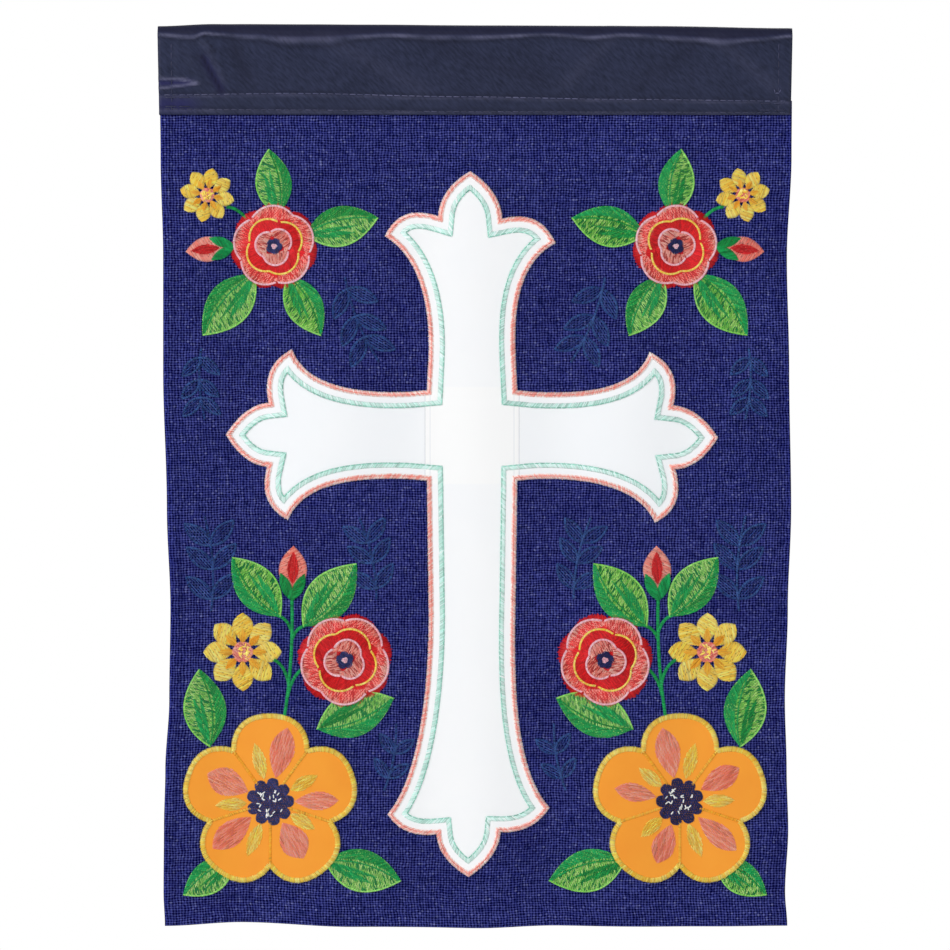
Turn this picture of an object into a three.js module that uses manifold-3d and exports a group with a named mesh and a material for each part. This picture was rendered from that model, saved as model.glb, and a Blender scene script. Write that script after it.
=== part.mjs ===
// Garden flag: a turned double panel of coarse cloth under a folded rod sleeve, with an
// appliqué cross and stitched flowers on its front. Millimetres, +Z up, front towards -Y,
// origin at the middle of the top edge.
import * as THREE from 'three';
import { mergeVertices } from 'three/addons/utils/BufferGeometryUtils.js';
import Module from 'manifold-3d';

const wasm = await Module();
wasm.setup();

// Cloths and threads
const PANEL_THICK = 1.6; // two layers of coarse weave
const SEAM_BAND = 6; // width of the seam allowance turned inside the edges
const SEAM_EXTRA = 0.6; // what that allowance adds to the thickness
const SLEEVE_THICK = 1;
const APPLIQUE_THICK = 1;
const STITCH_THICK = 1.1; // a filled patch of thread
const EDGE_THICK = 1.5; // the dense satin-stitched edge of the cross
const LINE_THICK = 0.8;
const PIECE_GAP = 0.3;

// Hang of the panel
const PANEL_TOP = -38; // the panel's upper edge, held between the leaves of the sleeve
const HANG_START = -47; // the sleeve holds the cloth flat above this height
const HANG_FULL = -120; // the ripples have their full depth below this height
const GRID_COLUMNS = 24;
const GRID_ROWS = 15;

// Side edges: distance below the top, and how far each edge stands from the middle
const SIDES = [
  { drop: 38, left: 160, right: 161 },
  { drop: 66, left: 159.7, right: 160.8 },
  { drop: 118, left: 158.3, right: 158.4 },
  { drop: 175, left: 158.3, right: 159.6 },
  { drop: 245, left: 156.4, right: 160.6 },
  { drop: 296, left: 154.6, right: 158.9 },
  { drop: 342, left: 155.2, right: 157.4 },
  { drop: 378, left: 157.2, right: 158.3 },
  { drop: 408, left: 157.9, right: 159.1 },
  { drop: 440, left: 158.1, right: 157.5 },
  { drop: 457, left: 157.4, right: 158.6 },
];

// Lower edge: place across, and distance below the top
const HEM = [
  { x: -158, drop: 457 },
  { x: -118, drop: 455.3 },
  { x: -60, drop: 457.5 },
  { x: 0, drop: 458.2 },
  { x: 42, drop: 457 },
  { x: 100, drop: 457.5 },
  { x: 158, drop: 457 },
];

// Ripples: place across at the top and at the hem, half width, and rise towards the front
const RIPPLES = [
  { top: -146, foot: -151, width: 20, rise: 1.6 },
  { top: -112, foot: -124, width: 18, rise: -1.5 },
  { top: -68, foot: -74, width: 24, rise: 2 },
  { top: -28, foot: -21, width: 19, rise: -1.7 },
  { top: -4, foot: 6, width: 20, rise: 1.8 },
  { top: 50, foot: 36, width: 20, rise: -1.8 },
  { top: 88, foot: 70, width: 24, rise: 1.9 },
  { top: 118, foot: 108, width: 17, rise: -1.6 },
  { top: 136, foot: 128, width: 18, rise: 1.4 },
];

// Rod sleeve: place across, height of the top edge, and radius of the roll over the rod space
const SLEEVE = [
  { x: -161, lift: -0.1, roll: 5.6 },
  { x: -132, lift: 1, roll: 6.7 },
  { x: -50, lift: 0.7, roll: 6.4 },
  { x: 5, lift: 0.3, roll: 6.6 },
  { x: 90, lift: 0, roll: 6.3 },
  { x: 161, lift: -1.1, roll: 5.9 },
];
const SLEEVE_LEFT = -161;
const SLEEVE_RIGHT = 161;
const SLEEVE_FOOT = -45.2; // lower edges of the two leaves
const POCKET_FOOT = -36; // stitch row that closes the rod space
const POCKET_SPRING = { out: 0.5, below: 1, above: 1.5 }; // the leaf's first bend off that row
const POCKET_SHOULDER = { out: 0.62, up: 0.55 }; // shares of the way from that row to the roll
const SLEEVE_STEPS = 14;
const ROLL_STEPS = 8;

// Cross: middle, arm height, tips, and width of the bars. Each end is sewn on a little askew: its
// droop sets its horns back, its lean moves one side out along the arm, and its sway moves the whole
// end sideways. Span is the spread of its horns and plump the swell of their outer edges, as shares.
const CROSS_X = -1.5;
const CROSS_Z = -208;
const BAR_HALF = 22.2;
const CORNER_HALF = 23; // the inner corners, drawn out a little
const TIPS = [
  {
    turn: 90, reach: 134.3, flare: 60, hook: 13,
    droop: 1.3, lean: 0.04, sway: 0.9, span: 1, plump: 1,
  },
  {
    turn: 0, reach: 125, flare: 60, hook: 9,
    droop: 0, lean: -0.03, sway: -1, span: 1, plump: 0.95,
  },
  {
    turn: -90, reach: 224.3, flare: 110, hook: 24,
    droop: 0, lean: -0.04, sway: -1.8, span: 0.95, plump: 0.62,
  },
  {
    turn: 180, reach: 125.2, flare: 60, hook: 9,
    droop: -0.8, lean: 0.025, sway: -0.4, span: 1, plump: 0.9,
  },
];
const NOTCH = { back: 22.2, out: 16.3 };
const HORN = { back: 33.6, out: 43.4 };
const LOBE_BEND = { back: 9.5, out: 15.4 };
const HORN_BEND = { back: 16.5, out: 36 };
const FLARE_OUT = 20;
const SEAM_HALF = 23.9; // half width of the upright's strip, which lies over the crossbar
const ARM_REACH = { out: 140, up: 50 }; // a box that holds one arm of the crossbar
const CURVE_STEPS = 6;
const EDGE_WIDTH = 2.7;
const LINE_INSET = 5.7;
const LINE_WIDTH = 2.6;

// Flowers and leaves of the right half, repeated on the left: place, size and turn in degrees.
// A flower's place is its middle and a leaf's or bud's is its foot.
const FLOWERS = [
  { kind: 'blossom', x: 104, z: -394, size: 45, turn: 18 },
  { kind: 'rosette', x: 66, z: -322, size: 24, turn: 10 },
  { kind: 'daisy', x: 118, z: -318, size: 20, turn: 0 },
  { kind: 'rosette', x: 102, z: -112, size: 22, turn: 40 },
  { kind: 'daisy', x: 136, z: -86, size: 14, turn: 12 },
];
const LEAVES = [
  { kind: 'bud', x: 93, z: -292, size: 28, turn: 92 },
  { kind: 'leaf', x: 87, z: -305, size: 42, turn: 130 },
  { kind: 'leaf', x: 99, z: -300, size: 39, turn: 51 },
  { kind: 'leaf', x: 80, z: -357, size: 42, turn: 158 },
  { kind: 'leaf', x: 76, z: -424, size: 40, turn: 195 },
  { kind: 'leaf', x: 134.5, z: -366, size: 40, turn: 82 },
  { kind: 'leaf', x: 122.5, z: -424, size: 31, turn: -34 },
  { kind: 'bud', x: 122, z: -112, size: 25, turn: -6 },
  { kind: 'leaf', x: 86, z: -106, size: 38, turn: 167 },
  { kind: 'leaf', x: 100, z: -96, size: 34, turn: 82 },
  { kind: 'leaf', x: 112, z: -126, size: 41, turn: -50 },
  { kind: 'leaf', x: 95, z: -127, size: 35, turn: -119 },
];
const PETALS = {
  blossom: { count: 5, cleft: 0.27, steps: 8 },
  rosette: { count: 7, cleft: 0.1, steps: 5 },
  daisy: { count: 8, cleft: 0.26, steps: 5 },
};
const PETAL_ROUNDNESS = 1.6; // higher values make rounder petals and sharper clefts
const LEAF_PLUMP = { leaf: 0.27, bud: 0.26 }; // half width over length
const LEAF_WIDEST = 0.45; // where along its length a leaf is widest
const HEART_SHARE = 0.27; // radius of a blossom's centre over the blossom's own
const HEART_SIDES = 14;

const LOOKS = {
  panel: { color: 0x26295f, roughness: 0.85 },
  sleeve: { color: 0x31364a, roughness: 0.45 },
  cloth: { color: 0xf4f6fa, roughness: 0.7 },
  edge: { color: 0xf09a86, roughness: 0.5 },
  line: { color: 0xaee0cc, roughness: 0.5 },
  blossom: { color: 0xf8a52d, roughness: 0.6 },
  heart: { color: 0x28325f, roughness: 0.5 },
  rosette: { color: 0xd4262b, roughness: 0.5 },
  daisy: { color: 0xf7c64b, roughness: 0.5 },
  bud: { color: 0xf08a78, roughness: 0.5 },
  leaf: { color: 0x3da64c, roughness: 0.5 },
};

const flag = new THREE.Group();

function addMesh(name, geometry, look) {
  const material = new THREE.MeshStandardMaterial({ ...LOOKS[look], metalness: 0 });
  geometry.computeVertexNormals();
  const mesh = new THREE.Mesh(geometry, material);
  mesh.name = name;
  flag.add(mesh);
}

// Value of a table's column at a place, eased from row to row
function tableAt(rows, key, column, place) {
  const last = rows.length - 1;
  if (place <= rows[0][key]) return rows[0][column];
  if (place >= rows[last][key]) return rows[last][column];
  const i = rows.findIndex((row) => row[key] > place) - 1;
  const share = THREE.MathUtils.smoothstep(place, rows[i][key], rows[i + 1][key]);
  return THREE.MathUtils.lerp(rows[i][column], rows[i + 1][column], share);
}

// Depth of the middle of the panel at a place on its face
function hangDepth(x, z) {
  const share = THREE.MathUtils.smoothstep(-z, -HANG_START, -HANG_FULL);
  const down = -z / HEM[0].drop;
  let rise = 0;
  for (const ripple of RIPPLES) {
    const middle = THREE.MathUtils.lerp(ripple.top, ripple.foot, down);
    rise += ripple.rise * Math.exp(-(((x - middle) / ripple.width) ** 2));
  }
  return -rise * share;
}

// Stations from 0 to 1 with one at the seam band inside the marked ends
function stations(count, length, bandStart, bandEnd) {
  const from = bandStart ? SEAM_BAND / length : 0;
  const to = bandEnd ? 1 - SEAM_BAND / length : 1;
  const list = bandStart ? [0] : [];
  for (let i = 0; i <= count; i += 1) list.push(from + ((to - from) * i) / count);
  if (bandEnd) list.push(1);
  return list;
}

const CLOTH_WIDTH = SIDES[0].left + SIDES[0].right;
const CLOTH_DROP = HEM[0].drop + PANEL_TOP;
const COLUMNS = stations(GRID_COLUMNS, CLOTH_WIDTH, true, true);
const ROWS = stations(GRID_ROWS, CLOTH_DROP, false, true);

function clothPlace(u, v) {
  const level = PANEL_TOP - CLOTH_DROP * v;
  const left = -tableAt(SIDES, 'drop', 'left', -level);
  const right = tableAt(SIDES, 'drop', 'right', -level);
  const x = THREE.MathUtils.lerp(left, right, u);
  const z = THREE.MathUtils.lerp(PANEL_TOP, -tableAt(HEM, 'x', 'drop', x), v);
  return { x, z, y: hangDepth(x, z) };
}

// A closed sheet on the hang of the panel, between two distances in front of its middle
function sheetGeometry(frontAt, backAt) {
  const wide = COLUMNS.length;
  const tall = ROWS.length;
  const front = [];
  const back = [];
  ROWS.forEach((v, row) => {
    COLUMNS.forEach((u, column) => {
      const place = clothPlace(u, v);
      front.push(place.x, place.y - frontAt(row, column), place.z);
      back.push(place.x, place.y - backAt(row, column), place.z);
    });
  });
  const count = wide * tall;
  const at = (row, column) => row * wide + column;
  const faces = [];
  for (let row = 0; row < tall - 1; row += 1) {
    for (let column = 0; column < wide - 1; column += 1) {
      const a = at(row, column);
      const b = at(row, column + 1);
      const c = at(row + 1, column + 1);
      const d = at(row + 1, column);
      faces.push(a, d, c, a, c, b);
      faces.push(a + count, c + count, d + count, a + count, b + count, c + count);
    }
  }
  const rim = [];
  for (let row = 0; row < tall - 1; row += 1) rim.push(at(row, 0));
  for (let column = 0; column < wide - 1; column += 1) rim.push(at(tall - 1, column));
  for (let row = tall - 1; row > 0; row -= 1) rim.push(at(row, wide - 1));
  for (let column = wide - 1; column > 0; column -= 1) rim.push(at(0, column));
  rim.forEach((p, i) => {
    const q = rim[(i + 1) % rim.length];
    faces.push(q, p, p + count, q, p + count, q + count);
  });
  const geometry = new THREE.BufferGeometry();
  geometry.setAttribute('position', new THREE.Float32BufferAttribute([...front, ...back], 3));
  geometry.setIndex(faces);
  return geometry;
}

function addPanel() {
  const half = (row, column) => {
    const atSide = column === 0 || column === COLUMNS.length - 1;
    const nearSide = column === 1 || column === COLUMNS.length - 2;
    const nearFoot = row === ROWS.length - 2;
    const atFoot = row === ROWS.length - 1;
    const sewn = row > 1 && (nearSide || nearFoot) && !atSide && !atFoot;
    return (PANEL_THICK + (sewn ? SEAM_EXTRA : 0)) / 2;
  };
  addMesh('panel', sheetGeometry(half, (row, column) => -half(row, column)), 'panel');
}

// Middle line of the sleeve's strip in its section, from the front leaf's foot over the roll
// to the back leaf's foot, as distance in front of the panel and height
function sleeveLine(x) {
  const top = tableAt(SLEEVE, 'x', 'lift', x);
  const roll = tableAt(SLEEVE, 'x', 'roll', x) - SLEEVE_THICK / 2;
  const leaf = PANEL_THICK / 2 + PIECE_GAP + SLEEVE_THICK / 2;
  const centre = top - SLEEVE_THICK / 2 - roll;
  const line = [
    [leaf, SLEEVE_FOOT],
    [leaf, POCKET_FOOT - POCKET_SPRING.below],
    [leaf + POCKET_SPRING.out, POCKET_FOOT + POCKET_SPRING.above],
    [
      THREE.MathUtils.lerp(leaf, roll, POCKET_SHOULDER.out),
      THREE.MathUtils.lerp(POCKET_FOOT, centre, POCKET_SHOULDER.up),
    ],
  ];
  const half = line.map(([out, z]) => [-out, z]).reverse();
  for (let i = 0; i <= ROLL_STEPS; i += 1) {
    const angle = (Math.PI * i) / ROLL_STEPS;
    line.push([roll * Math.cos(angle), centre + roll * Math.sin(angle)]);
  }
  return [...line, ...half];
}

// Both faces of that strip, as a closed loop of points
function sleeveLoop(x) {
  const line = sleeveLine(x);
  const outer = [];
  const inner = [];
  line.forEach(([out, z], i) => {
    const before = line[Math.max(i - 1, 0)];
    const after = line[Math.min(i + 1, line.length - 1)];
    const length = Math.hypot(after[0] - before[0], after[1] - before[1]);
    const side = [(after[1] - before[1]) / length, -(after[0] - before[0]) / length];
    const reach = SLEEVE_THICK / 2;
    outer.push([out + side[0] * reach, z + side[1] * reach]);
    inner.push([out - side[0] * reach, z - side[1] * reach]);
  });
  return [...outer, ...inner.reverse()];
}

function addSleeve() {
  const points = [];
  const faces = [];
  let around = 0;
  for (let step = 0; step <= SLEEVE_STEPS; step += 1) {
    const x = THREE.MathUtils.lerp(SLEEVE_LEFT, SLEEVE_RIGHT, step / SLEEVE_STEPS);
    const loop = sleeveLoop(x);
    around = loop.length;
    for (const [out, z] of loop) points.push(x, -out, z);
  }
  for (let step = 0; step < SLEEVE_STEPS; step += 1) {
    for (let i = 0; i < around; i += 1) {
      const a = step * around + i;
      const b = step * around + ((i + 1) % around);
      faces.push(a, a + around, b, b, a + around, b + around);
    }
  }
  const last = SLEEVE_STEPS * around;
  for (let i = 0; i < around / 2 - 1; i += 1) {
    const a = i;
    const b = i + 1;
    const c = around - 2 - i;
    const d = around - 1 - i;
    faces.push(a, b, c, a, c, d);
    faces.push(last + a, last + c, last + b, last + a, last + d, last + c);
  }
  const geometry = new THREE.BufferGeometry();
  geometry.setAttribute('position', new THREE.Float32BufferAttribute(points, 3));
  geometry.setIndex(faces);
  addMesh('rod_sleeve', geometry, 'sleeve');
}

const WELD = 1e-4; // corners closer than this are one

function toSolid(geometry) {
  const bare = geometry.clone();
  bare.deleteAttribute('normal');
  bare.deleteAttribute('uv');
  const merged = mergeVertices(bare, WELD);
  return new wasm.Manifold(
    new wasm.Mesh({
      numProp: 3,
      vertProperties: new Float32Array(merged.attributes.position.array),
      triVerts: new Uint32Array(merged.index.array),
    }),
  );
}

function toGeometry(solid) {
  const mesh = solid.getMesh();
  const geometry = new THREE.BufferGeometry();
  geometry.setAttribute('position', new THREE.BufferAttribute(mesh.vertProperties, 3));
  geometry.setIndex(new THREE.BufferAttribute(mesh.triVerts, 1));
  return geometry;
}

const CUT_REACH = 20; // how far a cutting prism stands out on each side of the cloth

// A prism through the cloth, from an outline on its face and an optional hole
function prism(outline, hole) {
  const shape = new THREE.Shape(outline);
  if (hole) shape.holes.push(new THREE.Path(hole));
  const geometry = new THREE.ExtrudeGeometry(shape, { depth: 2 * CUT_REACH, bevelEnabled: false });
  geometry.rotateX(Math.PI / 2);
  geometry.translate(0, CUT_REACH, 0);
  return toSolid(geometry);
}

// A layer on the panel's front, starting a given height over its face
function layer(lift, thick) {
  const back = PANEL_THICK / 2 + lift;
  return toSolid(sheetGeometry(() => back + thick, () => back));
}

const LAYERS = {
  cloth: layer(PIECE_GAP, APPLIQUE_THICK),
  stitch: layer(PIECE_GAP, STITCH_THICK),
  edge: layer(PIECE_GAP, EDGE_THICK),
  raised: layer(2 * PIECE_GAP + APPLIQUE_THICK, LINE_THICK),
};

// One end of the cross as smooth stretches, from its right-hand side round to its left, with
// x pointing out along the arm
function crossEnd({ reach, flare, hook, droop, lean, sway, span, plump }) {
  const shoulder = reach - droop;
  const horn = new THREE.Vector2(shoulder - HORN.back, -HORN.out * span);
  const notch = new THREE.Vector2(shoulder - NOTCH.back, -NOTCH.out);
  const tip = new THREE.Vector2(reach, 0);
  const neck = new THREE.Vector2(horn.x - flare, -BAR_HALF);
  const flareBend = new THREE.Vector2(horn.x - hook, -FLARE_OUT);
  const fullBend = new THREE.Vector2(shoulder - HORN_BEND.back, -HORN_BEND.out);
  const hornBend = horn.clone().lerp(notch, 0.5).lerp(fullBend, plump);
  const lobeBend = new THREE.Vector2(reach - LOBE_BEND.back, -LOBE_BEND.out);
  const right = [
    [new THREE.Vector2(CORNER_HALF, -CORNER_HALF), ...bow(neck, flareBend, horn)],
    bow(horn, hornBend, notch),
    bow(notch, lobeBend, tip),
  ];
  const left = right.map((line) => line.map((p) => new THREE.Vector2(p.x, -p.y)).reverse());
  const askew = (p) => {
    const share = THREE.MathUtils.smoothstep(p.x, neck.x, horn.x);
    return new THREE.Vector2(p.x + lean * p.y * share, p.y + sway * share);
  };
  return [...right, ...left.reverse()].map((line) => line.map(askew));
}

function bow(from, bend, to) {
  return new THREE.QuadraticBezierCurve(from, bend, to).getPoints(CURVE_STEPS);
}

// Points of a line moved sideways, to its left
function moved(line, distance) {
  return line.map((p, i) => {
    const before = line[Math.max(i - 1, 0)];
    const after = line[Math.min(i + 1, line.length - 1)];
    const along = after.clone().sub(before).normalize();
    return new THREE.Vector2(p.x - along.y * distance, p.y + along.x * distance);
  });
}

// Shares along two segments at which their lines cross
function crossing(a, b, c, d) {
  const ab = b.clone().sub(a);
  const cd = d.clone().sub(c);
  const ac = c.clone().sub(a);
  const turn = ab.cross(cd);
  return { first: ac.cross(cd) / turn, second: ac.cross(ab) / turn };
}

// Two lines cut back to the point where they meet, or drawn out to it
function joined(one, two) {
  for (let i = one.length - 2; i >= 0; i -= 1) {
    for (let j = 0; j < two.length - 1; j += 1) {
      const { first, second } = crossing(one[i], one[i + 1], two[j], two[j + 1]);
      if (first >= 0 && first <= 1 && second >= 0 && second <= 1) {
        const point = one[i].clone().lerp(one[i + 1], first);
        return { one: [...one.slice(0, i + 1), point], two: [point, ...two.slice(j + 1)] };
      }
    }
  }
  const end = one.length - 1;
  const { first } = crossing(one[end - 1], one[end], two[0], two[1]);
  const point = one[end - 1].clone().lerp(one[end], first);
  return { one: [...one.slice(0, end), point], two: [point, ...two.slice(1)] };
}

// Outline of the cross drawn in by a distance
function crossOutline(inset) {
  const stretches = [];
  for (const tip of [...TIPS].reverse()) {
    const turn = THREE.MathUtils.degToRad(tip.turn);
    for (const line of crossEnd(tip)) {
      const turned = line.map((p) => p.clone().rotateAround(new THREE.Vector2(), turn));
      stretches.push(moved(turned, inset));
    }
  }
  stretches.forEach((line, i) => {
    const next = (i + 1) % stretches.length;
    const pair = joined(stretches[i], stretches[next]);
    stretches[i] = pair.one;
    stretches[next] = pair.two;
  });
  const place = new THREE.Vector2(CROSS_X, CROSS_Z);
  return stretches.flatMap((line) => line.slice(0, -1).map((p) => p.clone().add(place)));
}

// A prism that holds what of the cross lies beyond a distance to one side of its middle
function armBox(side, from) {
  const near = CROSS_X + side * from;
  const far = CROSS_X + side * ARM_REACH.out;
  const foot = CROSS_Z - ARM_REACH.up;
  const top = CROSS_Z + ARM_REACH.up;
  const corners = [[near, foot], [far, foot], [far, top], [near, top]];
  return prism(corners.map(([x, z]) => new THREE.Vector2(x, z)));
}

function addCross() {
  const ring = (outer, inner) => prism(crossOutline(outer), crossOutline(inner));
  const cloth = prism(crossOutline(EDGE_WIDTH + PIECE_GAP)).intersect(LAYERS.cloth);
  let upright = cloth;
  for (const { side, name } of [{ side: -1, name: 'left' }, { side: 1, name: 'right' }]) {
    const arm = cloth.intersect(armBox(side, SEAM_HALF + PIECE_GAP / 2));
    addMesh(`cross_arm_${name}`, toGeometry(arm), 'cloth');
    upright = upright.subtract(armBox(side, SEAM_HALF - PIECE_GAP / 2));
  }
  addMesh('cross_upright', toGeometry(upright), 'cloth');
  addMesh('cross_border', toGeometry(ring(0, EDGE_WIDTH).intersect(LAYERS.edge)), 'edge');
  const line = ring(LINE_INSET, LINE_INSET + LINE_WIDTH).intersect(LAYERS.raised);
  addMesh('cross_line', toGeometry(line), 'line');
}

// Outline of a flower with round petals, drawn out by a margin
function flowerOutline({ kind, x, z, size, turn }, side, margin = 0) {
  const { count, cleft, steps } = PETALS[kind];
  const start = THREE.MathUtils.degToRad(turn);
  const points = [];
  for (let i = 0; i < count * steps; i += 1) {
    const angle = (2 * Math.PI * i) / (count * steps);
    const fold = 1 - Math.abs(Math.cos((count * angle) / 2));
    const radius = size * (1 - cleft * fold ** PETAL_ROUNDNESS) + margin;
    points.push(new THREE.Vector2(
      side * (x + radius * Math.cos(angle + start)),
      z + radius * Math.sin(angle + start),
    ));
  }
  return side > 0 ? points : points.reverse();
}

// Almond outline of a leaf or a bud
function leafOutline({ kind, x, z, size, turn }, side) {
  const half = size * LEAF_PLUMP[kind];
  const foot = new THREE.Vector2(0, 0);
  const tip = new THREE.Vector2(size, 0);
  const below = new THREE.Vector2(size * LEAF_WIDEST, -2 * half);
  const above = new THREE.Vector2(size * LEAF_WIDEST, 2 * half);
  const outline = [...bow(foot, below, tip), ...bow(tip, above, foot).slice(1, -1)];
  const angle = THREE.MathUtils.degToRad(turn);
  const points = outline.map((p) => {
    const q = p.clone().rotateAround(foot, angle);
    return new THREE.Vector2(side * (q.x + x), q.y + z);
  });
  return side > 0 ? points : points.reverse();
}

function addFlowers(side, sideName) {
  const seen = {};
  const named = (kind) => {
    seen[kind] = (seen[kind] ?? 0) + 1;
    return `${kind}_${sideName}_${seen[kind]}`;
  };
  const taken = [];
  for (const flower of FLOWERS) {
    const isCloth = flower.kind === 'blossom';
    const solid = prism(flowerOutline(flower, side)).intersect(isCloth ? LAYERS.cloth : LAYERS.stitch);
    addMesh(named(flower.kind), toGeometry(solid), flower.kind);
    taken.push(prism(flowerOutline(flower, side, PIECE_GAP)));
    if (isCloth) addHeart(flower, side, named('heart'));
  }
  for (const leaf of LEAVES) {
    let solid = prism(leafOutline(leaf, side)).intersect(LAYERS.stitch);
    for (const cutter of taken) solid = solid.subtract(cutter);
    addMesh(named(leaf.kind), toGeometry(solid), leaf.kind);
  }
}

// Round stitched centre on a blossom's cloth
function addHeart({ x, z, size }, side, name) {
  const points = [];
  for (let i = 0; i < HEART_SIDES; i += 1) {
    const angle = (2 * Math.PI * i) / HEART_SIDES;
    const radius = size * HEART_SHARE;
    points.push(new THREE.Vector2(side * x + radius * Math.cos(angle), z + radius * Math.sin(angle)));
  }
  addMesh(name, toGeometry(prism(points).intersect(LAYERS.raised)), 'heart');
}

addPanel();
addSleeve();
addCross();
addFlowers(-1, 'left');
addFlowers(1, 'right');

export default flag;
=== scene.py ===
# %% [markdown]
# # A garden flag, dressed in cloth and thread
# A garden flag is a small banner that hangs from the arm of a stand in a flower bed. This one is
# a turned double panel of coarse navy cloth under a folded satin sleeve, with a white cross sewn
# on and flowers worked in thread. Its solids are already built, so this lesson only gives them
# their looks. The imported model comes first, because most pieces below stand for its nodes.

# %% load the frame
import math

import bpy
import numpy as np
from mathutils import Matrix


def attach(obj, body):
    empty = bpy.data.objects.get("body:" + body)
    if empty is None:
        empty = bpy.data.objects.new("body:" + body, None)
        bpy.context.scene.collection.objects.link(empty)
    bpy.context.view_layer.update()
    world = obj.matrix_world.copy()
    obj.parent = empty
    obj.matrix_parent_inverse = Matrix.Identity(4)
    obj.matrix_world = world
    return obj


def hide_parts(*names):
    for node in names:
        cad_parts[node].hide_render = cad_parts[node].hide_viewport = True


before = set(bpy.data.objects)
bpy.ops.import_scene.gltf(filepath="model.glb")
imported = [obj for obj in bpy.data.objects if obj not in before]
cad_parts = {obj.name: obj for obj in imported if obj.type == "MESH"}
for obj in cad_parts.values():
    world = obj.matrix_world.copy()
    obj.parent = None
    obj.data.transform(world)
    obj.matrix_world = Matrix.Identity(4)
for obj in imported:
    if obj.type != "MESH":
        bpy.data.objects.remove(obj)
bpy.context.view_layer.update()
MM = 0.001
SPRAYS = {"left": -1, "right": 1}

# %% [markdown]
# ## The studio
# The flag is seen square on, with its edges parallel, so the camera stands well back with a long
# lens. The picture's scale comes from the flag's own height. A bright world gives even light with
# no shadow behind the flag, and one large lamp above to the left brings out folds and thread.
# Weaker ones soften its shade and light the back.

# %% camera
PHOTO_PIXELS = 950
FLAG_HEIGHT = 457.2 * MM
FLAG_PIXELS = 900
FLAG_TOP_PIXEL = 26
CAMERA_AWAY = 2.4
SENSOR_WIDTH = 36

pixel_size = FLAG_HEIGHT / FLAG_PIXELS
middle_height = (FLAG_TOP_PIXEL - PHOTO_PIXELS / 2) * pixel_size
bpy.ops.object.camera_add(location=(0, -CAMERA_AWAY, middle_height), rotation=(math.pi / 2, 0, 0))
camera = bpy.context.object
camera.data.sensor_width = SENSOR_WIDTH
camera.data.lens = SENSOR_WIDTH * CAMERA_AWAY / (PHOTO_PIXELS * pixel_size)
bpy.context.scene.camera = camera
bpy.context.scene.view_settings.view_transform = "Standard"
print("lens:", round(camera.data.lens), "mm at", CAMERA_AWAY, "m")

# %% floor
FLOOR_HEIGHT = -0.8
FLOOR_RADIUS = 1.3
FLOOR_CORNERS = 96

bpy.ops.object.select_all(action="DESELECT")
bpy.ops.mesh.primitive_circle_add(vertices=FLOOR_CORNERS, radius=FLOOR_RADIUS, fill_type="NGON")
floor = bpy.context.object
floor.name = "floor"
floor.location.z = FLOOR_HEIGHT
print("floor:", FLOOR_RADIUS, "m round at", FLOOR_HEIGHT, "m")


# %% lamps
def rows_of(columns, *rows):
    """The rows of a table, each as a dictionary of its columns."""
    return [dict(zip(columns.split(), row)) for row in rows]


LAMPS = rows_of(
    "name place size power",
    ("key", (-1.8, -1.5, 0.5), 0.9, 27),
    ("top", (-0.2, -1.5, 1.3), 0.6, 4),
    ("fill", (1.7, -1.6, -0.3), 1.4, 9),
    ("back", (0.7, 2.0, 0.7), 1.2, 18),
)


def aim(place, target):
    """Turn that points a lamp's beam from a place to a target."""
    way = np.subtract(target, place)
    flat = math.hypot(way[0], way[1])
    return (math.atan2(flat, -way[2]), 0, math.atan2(-way[0], way[1]))


for lamp in LAMPS:
    turn = aim(lamp["place"], (0, 0, middle_height))
    bpy.ops.object.light_add(type="AREA", location=lamp["place"], rotation=turn)
    light = bpy.context.object
    light.name = lamp["name"]
    light.data.size = lamp["size"]
    light.data.energy = lamp["power"]
    light.visible_camera = False
print("lamps:", [lamp["name"] for lamp in LAMPS])

# %% [markdown]
# ## A short way to write finishes
# A finish is a tree of nodes, and drawing one by hand is slow. Here a wire stands for a socket, so
# sums on wires add Math nodes, and one method adds any other node. What varies over a surface then
# reads like the formula that it is.


# %% wires
class Wire:
    """An output socket. Python operators on it add Math nodes."""

    def __init__(self, finish, socket):
        self.finish = finish
        self.socket = socket

    def maths(self, operation, first, second=0.0):
        return self.finish.add("ShaderNodeMath", {"operation": operation}, {0: first, 1: second})

    def __add__(self, other):
        return self.maths("ADD", self, other)

    def __radd__(self, other):
        return self.maths("ADD", other, self)

    def __sub__(self, other):
        return self.maths("SUBTRACT", self, other)

    def __rsub__(self, other):
        return self.maths("SUBTRACT", other, self)

    def __mul__(self, other):
        return self.maths("MULTIPLY", self, other)

    def __rmul__(self, other):
        return self.maths("MULTIPLY", other, self)

    def __truediv__(self, other):
        return self.maths("DIVIDE", self, other)

    def __mod__(self, other):
        return self.maths("FLOORED_MODULO", self, other)

    def __pow__(self, other):
        return self.maths("POWER", self, other)

    def floor(self):
        return self.maths("FLOOR", self)

    def size(self):
        return self.maths("ABSOLUTE", self)

    def cosine(self):
        return self.maths("COSINE", self)

    def wave(self, pitch):
        """A cosine that comes back after a pitch."""
        return (self * (2 * math.pi / pitch)).cosine()

    def at_least(self, other):
        return self.maths("MAXIMUM", self, other)

    def at_most(self, other):
        return self.maths("MINIMUM", self, other)

    def share(self):
        """The value held between 0 and 1."""
        return self.at_least(0).at_most(1)


# %% finishes
# A Mix node takes and gives its colours in these of its sockets.
MIX_FIRST, MIX_SECOND, MIX_RESULT = 6, 7, 2


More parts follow.
